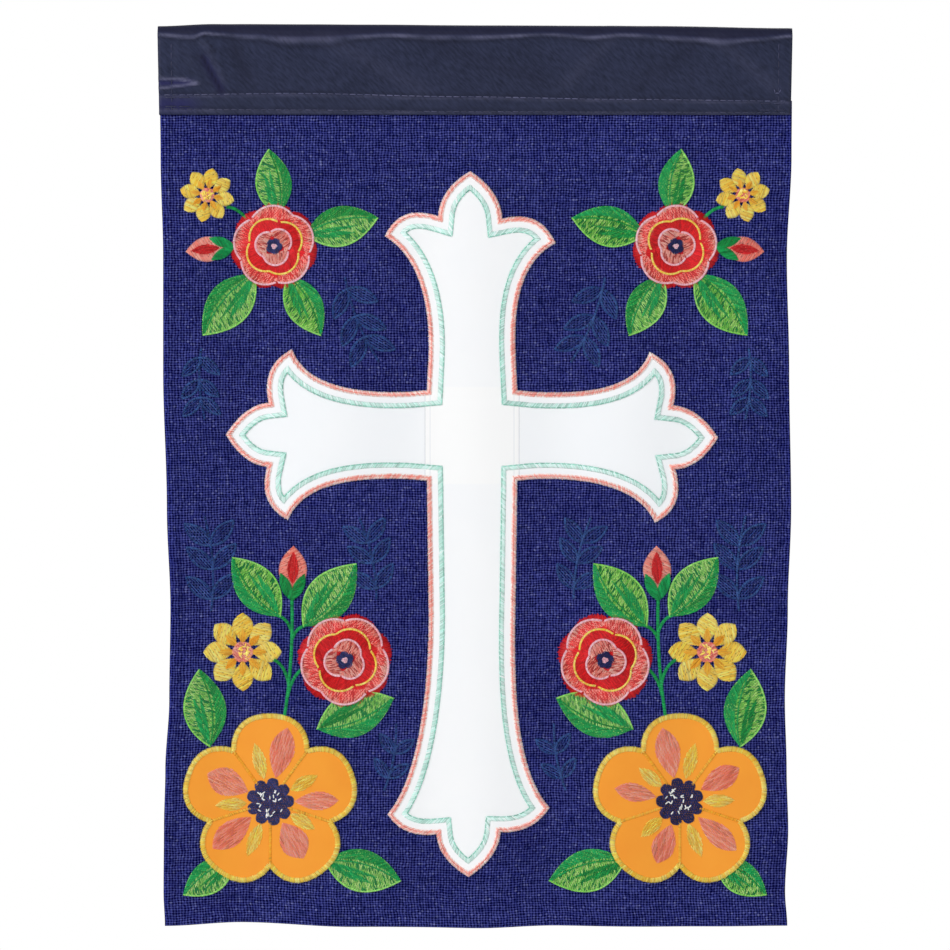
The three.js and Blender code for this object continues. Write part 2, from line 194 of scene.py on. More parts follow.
class Finish:
    """One material: its node tree, and the one method that adds nodes to it."""

    def __init__(self, name, shader):
        self.material = bpy.data.materials.new(name)
        self.material.use_nodes = True
        self.tree = self.material.node_tree
        self.shader = self.tree.nodes["Principled BSDF"]
        for socket, value in shader.items():
            self.shader.inputs[socket].default_value = value

    def add(self, kind, settings=None, sockets=None, out=0):
        node = self.tree.nodes.new(kind)
        for key, value in (settings or {}).items():
            setattr(node, key, value)
        for key, value in (sockets or {}).items():
            self.feed(node.inputs[key], value)
        return Wire(self, node.outputs[out])

    def feed(self, socket, value):
        if isinstance(value, Wire):
            self.tree.links.new(value.socket, socket)
        else:
            socket.default_value = value

    def set(self, **sockets):
        for name, value in sockets.items():
            self.feed(self.shader.inputs[name.replace("_", " ")], value)

    def blend(self, share, first, second, how="MIX"):
        settings = {"data_type": "RGBA", "blend_type": how}
        sockets = {0: share, MIX_FIRST: first, MIX_SECOND: second}
        return self.add("ShaderNodeMix", settings, sockets, out=MIX_RESULT)

    def place(self):
        return self.add("ShaderNodeTexCoord", out="Object")

    def lengths(self, name):
        return self.add("ShaderNodeUVMap", {"uv_map": name})

    def marks(self, name):
        return self.add("ShaderNodeVertexColor", {"layer_name": name})

    def part(self, vector, axis):
        return self.add("ShaderNodeSeparateXYZ", {}, {0: vector}, out="XYZ".index(axis))

    def vector(self, x, y, z=0.0):
        return self.add("ShaderNodeCombineXYZ", {}, {0: x, 1: y, 2: z})

    def noise(self, vector, scale, detail=2.0):
        sockets = {"Vector": vector, "Scale": scale, "Detail": detail}
        return self.add("ShaderNodeTexNoise", {}, sockets)

    def lot(self, vector):
        """A number from 0 to 1 drawn for each whole place."""
        return self.add("ShaderNodeTexWhiteNoise", {"noise_dimensions": "3D"}, {"Vector": vector})

    def bump(self, height, strength, distance):
        sockets = {"Height": height, "Strength": strength, "Distance": distance}
        return self.add("ShaderNodeBump", {}, sockets)


def dye(red, green, blue):
    """A colour as it reads on a screen, from 0 to 255, as the light that a shader wants."""
    shares = [v / 255 for v in (red, green, blue)]
    return tuple(v / 12.92 if v < 0.04 else ((v + 0.055) / 1.055) ** 2.4 for v in shares) + (1.0,)


print("white thread as light:", [round(v, 2) for v in dye(245, 247, 250)])

# %% world and floor finish
WORLD_LIGHT = 0.45
FLOOR_DYE = dye(240, 240, 238)
SPECKLE_DYE = dye(228, 228, 226)
SPECKLE_SCALE = 30
SPECKLE_SHARE = 0.1

world = bpy.data.worlds.new("studio")
world.use_nodes = True
bpy.context.scene.world = world
sky = world.node_tree
plain = sky.nodes["Background"]
plain.inputs["Strength"].default_value = WORLD_LIGHT
plain.inputs["Color"].default_value = (1, 1, 1, 1)
seen = sky.nodes.new("ShaderNodeBackground")
seen.inputs["Color"].default_value = (1, 1, 1, 1)
path = sky.nodes.new("ShaderNodeLightPath")
either = sky.nodes.new("ShaderNodeMixShader")
sky.links.new(path.outputs["Is Camera Ray"], either.inputs[0])
sky.links.new(plain.outputs[0], either.inputs[1])
sky.links.new(seen.outputs[0], either.inputs[2])
sky.links.new(either.outputs[0], sky.nodes["World Output"].inputs["Surface"])

paint = Finish("floor_paint", {"Roughness": 0.9})
speckle = paint.noise(paint.place(), SPECKLE_SCALE)
paint.set(Base_Color=paint.blend(speckle * SPECKLE_SHARE, FLOOR_DYE, SPECKLE_DYE))
floor.data.materials.append(paint.material)
print("world light:", WORLD_LIGHT)

# %% [markdown]
# ## How the cloth hangs
# Everything on this flag lies on one hanging cloth, so its shape is written once, as a formula:
# uneven side edges, an uneven hem, and soft ripples that fade out under the sleeve. The rows are
# the solids' own rows. A cloth simulation could make ripples too, but not these ones in their
# places.


# %% tables of the hang
def table(columns, *rows):
    """A table in millimetres as named columns in metres."""
    return dict(zip(columns.split(), np.array(rows, float).T * MM))


PANEL_THICK = 1.6 * MM
PANEL_TOP = -38 * MM
HANG_START = -47 * MM
HANG_FULL = -120 * MM

SIDES = table(
    "drop left right",
    (38, 160, 161),
    (66, 159.7, 160.8),
    (118, 158.3, 158.4),
    (175, 158.3, 159.6),
    (245, 156.4, 160.6),
    (296, 154.6, 158.9),
    (342, 155.2, 157.4),
    (378, 157.2, 158.3),
    (408, 157.9, 159.1),
    (440, 158.1, 157.5),
    (457, 157.4, 158.6),
)
HEM = table(
    "x drop",
    (-158, 457),
    (-118, 455.3),
    (-60, 457.5),
    (0, 458.2),
    (42, 457),
    (100, 457.5),
    (158, 457),
)
RIPPLES = table(
    "top foot width rise",
    (-146, -151, 20, 1.6),
    (-112, -124, 18, -1.5),
    (-68, -74, 24, 2),
    (-28, -21, 19, -1.7),
    (-4, 6, 20, 1.8),
    (50, 36, 20, -1.8),
    (88, 70, 24, 1.9),
    (118, 108, 17, -1.6),
    (136, 128, 18, 1.4),
)
print("rows of the sides:", len(SIDES["drop"]), "ripples:", len(RIPPLES["top"]))


# %% the hang as formulas
def smooth(share):
    """An even climb from 0 to 1, eased at both ends."""
    share = np.clip(share, 0, 1)
    return share * share * (3 - 2 * share)


def hump(away, width):
    """1 at a place, fading out over a width beside it."""
    return np.exp(-((away / width) ** 2))


def eased(rows, key, column, place):
    """A column of a table at a place, eased from row to row."""
    keys = rows[key]
    i = np.clip(np.searchsorted(keys, place, side="right") - 1, 0, len(keys) - 2)
    share = smooth((place - keys[i]) / (keys[i + 1] - keys[i]))
    return rows[column][i] * (1 - share) + rows[column][i + 1] * share


def rise(x, z):
    """How far the middle of the panel stands to the front at a place on its face."""
    down = -z / HEM["drop"][0]
    total = np.zeros(np.shape(x))
    for top, foot, width, height in zip(*(RIPPLES[c] for c in ("top", "foot", "width", "rise"))):
        middle = top + (foot - top) * down
        total += height * hump(x - middle, width)
    return total * smooth((HANG_START - z) / (HANG_START - HANG_FULL))


def face(x, z, lift):
    """Y of a place that stands a lift in front of the panel's face."""
    return -rise(x, z) - PANEL_THICK / 2 - lift


def on_cloth(u, v):
    """The place of two shares, across and down the panel."""
    drop = HEM["drop"][0] + PANEL_TOP
    level = -(PANEL_TOP - drop * v)
    left = -eased(SIDES, "drop", "left", level)
    right = eased(SIDES, "drop", "right", level)
    x = left + (right - left) * u
    return x, PANEL_TOP + (-eased(HEM, "x", "drop", x) - PANEL_TOP) * v


sample = rise(np.linspace(-0.15, 0.15, 200), np.full(200, -0.3))
print("ripples from", round(sample.min() / MM, 2), "to", round(sample.max() / MM, 2), "mm")


# %% [markdown]
# ## Sheets
# A sheet starts as a grid, as in any cloth work: its corners are then moved to where the formula
# puts them. The grid's lines crowd together at the edges, so that an edge can be rolled. A
# modifier gives the sheet its wall and is applied at once.


# %% corners of a sheet
def put_corners(sheet, points):
    sheet.data.vertices.foreach_set("co", np.asarray(points, float).ravel())
    sheet.data.update()


def get_corners(sheet):
    points = np.empty(len(sheet.data.vertices) * 3)
    sheet.data.vertices.foreach_get("co", points)
    return points.reshape(-1, 3)


def new_grid(name, columns, rows):
    """A grid object, with the column and the row of each of its corners."""
    bpy.ops.object.select_all(action="DESELECT")
    bpy.ops.mesh.primitive_grid_add(x_subdivisions=columns - 1, y_subdivisions=rows - 1, size=2)
    sheet = bpy.context.object
    sheet.name = name
    corners = get_corners(sheet)
    column = np.rint((corners[:, 0] + 1) / 2 * (columns - 1)).astype(int)
    row = np.rint((1 - corners[:, 1]) / 2 * (rows - 1)).astype(int)
    return sheet, column, row


def put_weave(sheet, across, down):
    """Lengths along the threads, kept as a UV map that follows the cloth."""
    corner = np.empty(len(sheet.data.loops), int)
    sheet.data.loops.foreach_get("vertex_index", corner)
    weave = sheet.data.uv_layers[0]
    weave.name = "weave"
    weave.data.foreach_set("uv", np.stack([across, down], 1)[corner].ravel())


# %% walls and seats
def apply(piece, kind, **settings):
    """Adds a modifier to a piece and applies it."""
    bpy.ops.object.select_all(action="DESELECT")
    piece.select_set(True)
    bpy.context.view_layer.objects.active = piece
    change = piece.modifiers.new(kind.lower(), kind)
    for key, value in settings.items():
        setattr(change, key, value)
    bpy.ops.object.modifier_apply(modifier=change.name)


def face_outwards():
    """Turns all faces of the mesh in edit mode to its outside."""
    bpy.ops.mesh.select_all(action="SELECT")
    bpy.ops.mesh.normals_make_consistent(inside=False)


def done(piece, slot, *nodes):
    """Seats a finished piece in the frame."""
    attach(piece, "root")
    if nodes:
        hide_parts(*nodes)
    print(piece.name, "corners:", len(piece.data.vertices), "faces:", len(piece.data.polygons))


# %% [markdown]
# ## The panel
# The panel is two layers of coarse cloth, sewn face to face along the sides and the hem and turned
# out, so its edge is a soft roll with the seam's spare cloth inside it. One sheet with a wall is
# enough: the wall swells over the spare cloth and closes at the rim.

# %% panel sheet
EDGE_LINES = np.array([0, 0.35, 0.9, 1.8, 3, 4.5, 6, 8]) * MM
PANEL_COLUMNS = 150
PANEL_ROWS = 190


def stations(length, count, at_start, at_end):
    """Shares along a length, crowded at the ends that are rolled."""
    first = EDGE_LINES if at_start else EDGE_LINES[:1]
    last = length - EDGE_LINES[::-1] if at_end else np.array([length])
    middle = np.linspace(first[-1], last[0], count - len(first) - len(last) + 2)
    return np.concatenate([first[:-1], middle, last[1:]]) / length


panel_width = SIDES["left"][0] + SIDES["right"][0]
panel_drop = HEM["drop"][0] + PANEL_TOP
panel, column, row = new_grid("panel_cloth", PANEL_COLUMNS, PANEL_ROWS)
u = stations(panel_width, PANEL_COLUMNS, True, True)[column]
v = stations(panel_drop, PANEL_ROWS, False, True)[row]
x, z = on_cloth(u, v)
put_corners(panel, np.stack([x, -rise(x, z), z], 1))
put_weave(panel, u * panel_width, v * panel_drop)
from_edge = np.minimum(np.minimum(u, 1 - u) * panel_width, (1 - v) * panel_drop)
apply(panel, "SOLIDIFY", thickness=PANEL_THICK, offset=0)
print("panel:", round(panel_width / MM), "by", round(panel_drop / MM), "mm")

# %% panel edge
EDGE_ROLL = 1.2 * MM
EDGE_LEAST = 0.04
SEAM_PLACE = 3.6 * MM
SEAM_WIDTH = 2.6 * MM
SEAM_SWELL = 0.28 * MM
SEAM_FADE = 20 * MM


def roll_edge(sheet, thick):
    """Rounds the rim of a solidified panel and swells it over its seam."""
    points = get_corners(sheet)
    middle = -rise(points[:, 0], points[:, 2])
    side = np.sign(points[:, 1] - middle)
    edge = np.tile(from_edge, 2)
    curl = np.sqrt(1 - (1 - np.clip(edge / EDGE_ROLL, EDGE_LEAST, 1)) ** 2)
    swell = SEAM_SWELL * hump(edge - SEAM_PLACE, SEAM_WIDTH)
    swell *= smooth((HANG_START - points[:, 2]) / SEAM_FADE)
    points[:, 1] = middle + side * (thick / 2 * curl + swell)
    put_corners(sheet, points)


roll_edge(panel, PANEL_THICK)
bpy.ops.object.shade_smooth()
done(panel, "coarse_cloth", "panel")

# %% [markdown]
# ## Coarse weave
# The cloth is an open plain weave of thick, uneven yarn: pale threads run both ways, each over one
# and under the next, and a dark hole shows in each corner between them. The threads are too many to
# model, so the weave is drawn by formula on the lengths along the threads. It paints shade into the
# holes and highlight onto the crowns, and bends the light.

# %% yarns of the weave
WARP_PITCH = 1.52 * MM
WEFT_PITCH = 1.27 * MM
# Yarns wander by shares of a pitch. Thick places are drawn out along a yarn, and differ from
# one yarn to the next. Each pattern is read on a layer of its own, so none repeats another.
WARP_WANDER, WARP_WANDER_SCALE = 1.3, 150
WEFT_WANDER, WEFT_WANDER_SCALE = 1.2, 110
WEFT_LAYER, SLUB_LAYER, HOLE_LAYER = 0.3, 4.0, 7.0
WARP_APART, WARP_DRAWN = 3.7, 0.11
WEFT_APART, WEFT_DRAWN = 5.3, 0.09
YARN_THIN, YARN_SWELL = 6.4, 4.4
CROWN_ROUND = 2.5
HOLE_LEAST, HOLE_MORE = 0.95, 1.85


def yarn_relief(cloth, warp, weft):
    """Height of the upper yarn, its tone by thick and thin places, its luck, and the holes."""
    warp_number, weft_number = warp.floor(), weft.floor()
    across_warp, across_weft = warp % 1 - 0.5, weft % 1 - 0.5
    drawn_warp = cloth.vector(warp_number * WARP_APART, weft * WARP_DRAWN)
    drawn_weft = cloth.vector(warp * WEFT_DRAWN, weft_number * WEFT_APART, SLUB_LAYER)
    warp_slub, weft_slub = cloth.noise(drawn_warp, 1.0), cloth.noise(drawn_weft, 1.0)
    warp_bare = across_warp * across_warp * (YARN_THIN - warp_slub * YARN_SWELL)
    weft_bare = across_weft * across_weft * (YARN_THIN - weft_slub * YARN_SWELL)
    warp_crown = (1 - warp_bare).at_least(0) * (across_weft * CROWN_ROUND).cosine()
    weft_crown = (1 - weft_bare).at_least(0) * (across_warp * CROWN_ROUND).cosine()
    over = (warp_number + weft_number) % 2
    height = over * warp_crown + (1 - over) * weft_crown
    tone = over * warp_slub + (1 - over) * weft_slub
    luck = cloth.lot(cloth.vector(warp_number, weft_number))
    open_share = cloth.lot(cloth.vector((warp + 0.5).floor(), (weft + 0.5).floor(), HOLE_LAYER))
    hole = ((warp_bare * weft_bare) ** 0.5 * (HOLE_LEAST + open_share * HOLE_MORE)).at_most(1)
    return over, height, tone, luck, hole


# %% coarse cloth finish
# Dark navy of the painted shade in the holes and beside the seam, and of the darker patches.
HOLE_DYE = dye(0, 0, 52)
YARN_DYE = dye(22, 28, 112)
CROWN_HIGHLIGHT_DYE = dye(98, 105, 178)
DULL_DYE = dye(6, 20, 72)
FLECK_DYE = dye(140, 146, 196)
RIM_DYE = dye(40, 48, 150)
# Strength of the painted highlight on the crowns, less on the warp's.
CROWN_LIGHT, WARP_DIMMER = 1.1, 0.25
TONE_LIGHT, LUCK_LIGHT = 0.9, 0.4
FLECK_RARITY = 18
FLECK_LEAST = 0.1
DULL_SCALE, DULL_SHARE = 260, 2.4
CLOUD_SCALE, CLOUD_LEVEL, CLOUD_SHARE = 22, 0.6, 0.7
RIM_WIDTH, RIM_TINT = 3.4 * MM, 0.4
SEAM_SHADE, SEAM_BLUR, SEAM_TINT = 5.2 * MM, 2.2 * MM, 0.2
WEAVE_BUMP, WEAVE_DEPTH, HOLE_DEPTH = 0.5, 0.4 * MM, 0.6


def coarse_weave():
    cloth = Finish("coarse_navy_weave", {"Roughness": 0.9, "Specular IOR Level": 0.02})
    weave = cloth.lengths("weave")
    across, down = cloth.part(weave, "X"), cloth.part(weave, "Y")
    wander = cloth.noise(weave, WARP_WANDER_SCALE) - 0.5
    drift = cloth.noise(cloth.vector(across, down, WEFT_LAYER), WEFT_WANDER_SCALE) - 0.5
    warp = across / WARP_PITCH + wander * WARP_WANDER
    weft = down / WEFT_PITCH + drift * WEFT_WANDER
    over, height, tone, luck, hole = yarn_relief(cloth, warp, weft)
    # Painted highlight on the yarn crowns, a little weaker on the warp's, varied by the yarn's tone
    # and luck.
    light = CROWN_LIGHT - over * WARP_DIMMER
    crown_highlight = height * light * (tone * TONE_LIGHT + luck * LUCK_LIGHT)
    colour = cloth.blend(crown_highlight.at_most(1), YARN_DYE, CROWN_HIGHLIGHT_DYE)
    fleck = (luck**FLECK_RARITY) * (height**2) * (FLECK_LEAST + tone)
    colour = cloth.blend(fleck.at_most(1), colour, FLECK_DYE)
    dull = (cloth.noise(weave, DULL_SCALE) - 0.5).at_least(0) * DULL_SHARE
    colour = cloth.blend(dull.at_most(1), colour, DULL_DYE)
    cloud = (CLOUD_LEVEL - cloth.noise(weave, CLOUD_SCALE)).at_least(0)
    colour = cloth.blend(cloud * CLOUD_SHARE, colour, HOLE_DYE)
    edge = across.at_most(panel_width - across)
    colour = cloth.blend((1 - edge / RIM_WIDTH).at_least(0) * RIM_TINT, colour, RIM_DYE)
    # Painted shade in a line beside the swell over the seam.
    seam = (1 - (edge - SEAM_SHADE).size() / SEAM_BLUR).at_least(0)
    colour = cloth.blend(seam * SEAM_TINT, colour, HOLE_DYE)
    # Painted shade in the holes between the yarns.
    colour = cloth.blend(hole, colour, HOLE_DYE)
    relief = cloth.bump(height - hole * HOLE_DEPTH, WEAVE_BUMP, WEAVE_DEPTH)
    cloth.set(Base_Color=colour, Normal=relief)
    return cloth.material


panel.data.materials.append(coarse_weave())
print("threads across:", round(panel_width / WARP_PITCH), "down:", round(panel_drop / WEFT_PITCH))

# %% [markdown]
# ## The rod sleeve
# The sleeve is one strip of dark satin folded over the top and sewn through the panel with two
# rows. Its section is a long drop: two leaves flat on the panel, then a pocket that opens to a roll
# over the rod space. The strip is a grid laid round that section. Its creases are small ridges and
# troughs moved out along the face: the long fold under the top, a dent and a pucker at the left.
# Highlight, shade and a violet cast are painted onto the satin along the folds and the sewing.

# %% sleeve tables
SLEEVE = table(
    "x lift roll",
    (-161, -0.1, 5.6),
    (-132, 1, 6.7),
    (-50, 0.7, 6.4),
    (5, 0.3, 6.6),
    (90, 0, 6.3),
    (161, -1.1, 5.9),
)
TOP_FOLD = table(
    "x z glow",
    (-161, -5, 0.6),
    (-143, -6.3, 0.7),
    (-137, -4.4, 0.5),
    (-131, -5, 0.5),
    (-113, -6.2, 0.8),
    (-93, -7.6, 1.5),
    (-76, -7.4, 1.5),
    (-56, -6, 0.7),
    (-44, -5.4, 0.6),
    (-21, -6.4, 0.9),
    (-2, -6.5, 0.8),
    (38, -5.2, 0.5),
    (59, -6.5, 0.7),
    (75, -5.4, 0.6),
    (113, -7.4, 0.9),
    (124, -8.7, 1.3),
    (141, -7.6, 0.6),
    (161, -5.9, 0.5),
)
SEW_ROWS = table(
    "x upper lower",
    (-161, -35.2, -42.3),
    (-93, -34.4, -42.8),
    (-5, -36.1, -43.6),
    (75, -37.4, -43.9),
    (161, -38.3, -44.2),
)

# %% sleeve creases, each from one place to another
# The glint column paints highlight along a crease where it is positive and shade where it is
# negative.
CREASES = rows_of(
    "start end width depth glint",
    ((-137, -6), (-131.5, -13.7), 0.9, -0.6, -0.6),
    ((-138, -17), (-129.8, -32), 1.9, -1.7, -1.0),
    ((-137, -10), (-128.6, -27), 2.0, 0.8, 0.08),
    ((-142, -20), (-137, -31), 2.6, 0.5, -0.2),
    ((-122, -12), (-117, -24), 5.0, -0.5, -0.4),
    ((-160, -26.8), (-148, -27.6), 0.7, 0.9, 0.5),
    ((-148, -27.6), (-141.8, -29.2), 0.9, 0.9, 0.45),
    ((-160, -31.8), (-141.8, -29.4), 0.7, 0.9, 0.55),
    ((-70, -10), (-30, -31), 6.0, 0.4, 0.04),
    ((-14, -12), (30, -27), 7.0, -0.5, -0.2),
    ((48, -28), (66, -10), 5.0, 0.4, 0.05),
    ((84, -31), (112, -11), 5.0, -0.5, -0.2),
    ((126, -10), (150, -30), 5.0, 0.4, 0.05),
)
# Streaks of painted violet cast in the creases.
VIOLET_STREAKS = rows_of(
    "start end width",
    ((-160, -29.3), (-147, -29), 1.7),
    ((-136.5, -19), (-130, -31.5), 1.9),
    ((-160, -40), (-150, -40), 4.0),
)


def along_crease(x, z, line, share=1.0):
    """1 on a crease's line, fading out beside it and past its ends."""
    width = line["width"] * share
    a = np.array(line["start"]) * MM
    way = np.array(line["end"]) * MM - a
    length = np.hypot(*way)
    along = ((x - a[0]) * way[0] + (z - a[1]) * way[1]) / length
    beside = ((x - a[0]) * way[1] - (z - a[1]) * way[0]) / length
    past = np.maximum(np.maximum(-along, along - length), 0)
    return np.exp(-((beside / (width * MM)) ** 2) - (past / (2 * width * MM)) ** 2)


print("creases:", len(CREASES), "violet streaks:", len(VIOLET_STREAKS))

# %% sleeve section
SLEEVE_HALF = 161 * MM
SLEEVE_FOOT = -45.2 * MM
POCKET_FOOT = -36 * MM
POCKET_CURVE = 0.8
SLEEVE_WALL = 0.8 * MM
LEAF_PLACE = 1.6 * MM
SLEEVE_COLUMNS = 190
TAPE_COLUMN = 90
LEAF_STEPS = 9
POCKET_STEPS = 34
ROLL_STEPS = 34


def sleeve_roll(x):
    """Radius of the roll over the rod space, and the height of its middle."""
    roll = eased(SLEEVE, "x", "roll", x) - SLEEVE_WALL / 2
    return roll, eased(SLEEVE, "x", "lift", x) - SLEEVE_WALL / 2 - roll


def pocket_out(roll, share):
    """Distance of the pocket's front from the panel's middle at a share of its height."""
    return LEAF_PLACE + (roll - LEAF_PLACE) * share**POCKET_CURVE


def sleeve_section(x):
    """Distance in front of the panel and height, from the front leaf's foot to the back one's."""
    roll, centre = sleeve_roll(x)
    leaf_heights = np.linspace(SLEEVE_FOOT, POCKET_FOOT, LEAF_STEPS, endpoint=False)
    share = np.linspace(0, 1, POCKET_STEPS, endpoint=False)
    angle = np.linspace(0, math.pi, ROLL_STEPS)
    front = np.concatenate([np.full(LEAF_STEPS, LEAF_PLACE), pocket_out(roll, share)])
    height = np.concatenate([leaf_heights, POCKET_FOOT + (centre - POCKET_FOOT) * share])
    over = [front, roll * np.cos(angle), -front[::-1]]
    rows = [height, centre + roll * np.sin(angle), height[::-1]]
    return np.concatenate(over), np.concatenate(rows)


def strip_places(out, height):
    """Lengths round the sleeve, measured along one of its columns."""
    steps = np.hypot(np.diff(out[:, TAPE_COLUMN]), np.diff(height[:, TAPE_COLUMN]))
    return np.concatenate([[0], np.cumsum(steps)])


sleeve_places = np.linspace(-SLEEVE_HALF, SLEEVE_HALF, SLEEVE_COLUMNS)
sections = [sleeve_section(place) for place in sleeve_places]
out, height = (np.array(rows).T for rows in zip(*sections))
print("smooth strip round the sleeve:", round(strip_places(out, height)[-1] / MM), "mm")

# %% sleeve creases and seams on the section
FOLD_RIDGE = 0.6 * MM
FOLD_WIDTH = 0.9 * MM
SEW_DIP = 0.38 * MM
SEW_WIDTH = 1.1 * MM
PULL_SHARE = 0.5
PULL_WAVES = (2.1 * MM, 7.3 * MM)
END_HEM = 7 * MM
HEM_SWELL = 0.3 * MM
HEM_FADE = 1.5 * MM
HEM_DIP_WIDTH = 0.9 * MM
HEM_TOP = -6 * MM
HEM_TOP_FADE = 4 * MM


def sleeve_relief(x, z, is_front):
    """How far the satin stands out of its section."""
    fold = eased(TOP_FOLD, "x", "z", x)
    relief = FOLD_RIDGE * hump(z - fold, FOLD_WIDTH)
    for line in CREASES:
        relief = relief + is_front * line["depth"] * MM * along_crease(x, z, line)
    for row in ("upper", "lower"):
        sewn = eased(SEW_ROWS, "x", row, x)
        pull = 1 + PULL_SHARE * np.sin(x / PULL_WAVES[0]) * np.sin(x / PULL_WAVES[1])
        relief = relief - SEW_DIP * pull * hump(z - sewn, SEW_WIDTH)
    from_end = SLEEVE_HALF - np.abs(x)
    below_top = smooth((HEM_TOP - z) / HEM_TOP_FADE)
    relief = relief + HEM_SWELL * smooth((END_HEM - from_end) / HEM_FADE) * below_top
    return relief - SEW_DIP * hump(from_end - END_HEM, HEM_DIP_WIDTH) * below_top


along = np.gradient(out, axis=0)
upward = np.gradient(height, axis=0)
reach = np.hypot(along, upward)
across = np.broadcast_to(sleeve_places, out.shape)
relief = sleeve_relief(across, height, out > 0)
print("satin relief from", round(relief.min() / MM, 2), "to", round(relief.max() / MM, 2), "mm")

# %% painted highlight and shade along the folds
# Strength and spread of the highlight, shade and violet cast painted on the satin.
SHINE_WAVE_LEAST, SHINE_WAVE_MORE = 0.6, 0.2
SHINE_WAVES = (8.3 * MM, 3.1 * MM)
FOLD_SHINE, FOLD_SHINE_LOSS = 0.62, 0.18
TOP_SHADE, TOP_FADE, TOP_FADE_START = 0.7, 1.6 * MM, 0.3
UNDER_SHADE, UNDER_PLACE, UNDER_WIDTH = 0.4, 2.2, 1.1 * MM
SEW_ASIDE = 0.9 * MM
SEW_SHINE, SEW_SHINE_WIDTH = 0.18, 0.7 * MM
SEW_SHADE, SEW_SHADE_WIDTH = 0.3, 0.8 * MM
GLINT_SHARE = 0.7
TOP_VIOLET = 0.4


def sleeve_painted_light(x, z, is_front):
    """Shares of painted highlight, shade and violet cast on the satin, along its folds and sewing.
    """
    above = z - eased(TOP_FOLD, "x", "z", x)
    glow = eased(TOP_FOLD, "x", "glow", x)
    # The painted highlight along the top fold grows and fades along the sleeve.
    shine_strength = SHINE_WAVE_LEAST + SHINE_WAVE_MORE * np.sin(x / SHINE_WAVES[0])
    shine_strength = shine_strength + SHINE_WAVE_MORE * np.sin(x / SHINE_WAVES[1] + 1)
    shine = shine_strength * (FOLD_SHINE - FOLD_SHINE_LOSS * glow / MM) * hump(above, glow)
    # Painted shade over the strip above the fold, which turns away from the lamps, and in a line
    # under the fold.
    shade = TOP_SHADE * smooth(above / TOP_FADE - TOP_FADE_START)
    shade = shade + UNDER_SHADE * hump(above + UNDER_PLACE * glow, UNDER_WIDTH)
    # Painted highlight just above each sewn row and painted shade just below it.
    for row in ("upper", "lower"):
        sewn = eased(SEW_ROWS, "x", row, x)
        shine = shine + SEW_SHINE * shine_strength * hump(z - sewn + SEW_ASIDE, SEW_SHINE_WIDTH)
        shade = shade + SEW_SHADE * hump(z - sewn - SEW_ASIDE, SEW_SHADE_WIDTH)
    # A crease's glint paints highlight where it is positive and shade where it is negative.
    for line in CREASES:
        mark = line["glint"] * along_crease(x, z, line, GLINT_SHARE)
        shine = shine + np.maximum(mark, 0)
        shade = shade + np.maximum(-mark, 0)
    # A painted violet cast over the strip above the fold and along the violet streaks.
    violet = TOP_VIOLET * smooth(above / TOP_FADE)
    for line in VIOLET_STREAKS:
        violet = violet + along_crease(x, z, line)
    return [np.clip(share, 0, 1) * is_front for share in (shine, shade, violet)]


shares = sleeve_painted_light(across, height, out > 0)
out = out + relief * upward / reach
height = height - relief * along / reach
print("mean shine, shade and violet:", [round(float(share.mean()), 3) for share in shares])

# %% sleeve sheet
SLEEVE_TAPER = 0.004

sleeve, column, row = new_grid("sleeve_satin", SLEEVE_COLUMNS, len(out))
spot = (len(out) - 1 - row, column)
taper = 1 - SLEEVE_TAPER * height / SLEEVE_FOOT
put_corners(sleeve, np.stack([across * taper, -out, height], 2)[spot])
strip = strip_places(out, height)
put_weave(sleeve, sleeve_places[column], strip[spot[0]])
marks = np.stack(shares + [np.ones(out.shape)], 2)[spot]
glint = sleeve.data.color_attributes.new("glint", "FLOAT_COLOR", "POINT")
glint.data.foreach_set("color", marks.ravel())
bpy.ops.object.mode_set(mode="EDIT")
face_outwards()
bpy.ops.object.mode_set(mode="OBJECT")
apply(sleeve, "SOLIDIFY", thickness=SLEEVE_WALL, offset=0)
bpy.ops.object.shade_smooth()
done(sleeve, "sleeve_satin", "rod_sleeve")

# %% sleeve finish
SATIN_DYE = dye(24, 30, 53)
SATIN_LIGHT_DYE = dye(52, 58, 88)
# Colours of the painted violet cast, highlight and shade.
VIOLET_DYE = dye(36, 35, 90)
SHINE_DYE = dye(116, 116, 148)
SHADE_DYE = dye(9, 9, 30)
SATIN_PITCH, SATIN_SLANT = 0.62 * MM, 0.7
STREAKS_ALONG, STREAKS_ACROSS = 160, 640
SATIN_CLOUD_SCALE = 45
LIGHT_STREAKS, LIGHT_CLOUD, LIGHT_LEVEL = 1.5, 0.5, 0.65
VIOLET_SHARE, SHADE_SHARE = 0.7, 0.8
SHINE_SHARE, SHINE_STREAKS = 0.4, 1.2
SATIN_ROUGHNESS, SATIN_ROUGHER = 0.42, 0.16
SATIN_RIBS, SATIN_BUMP, SATIN_DEPTH = 0.35, 0.22, 0.14 * MM


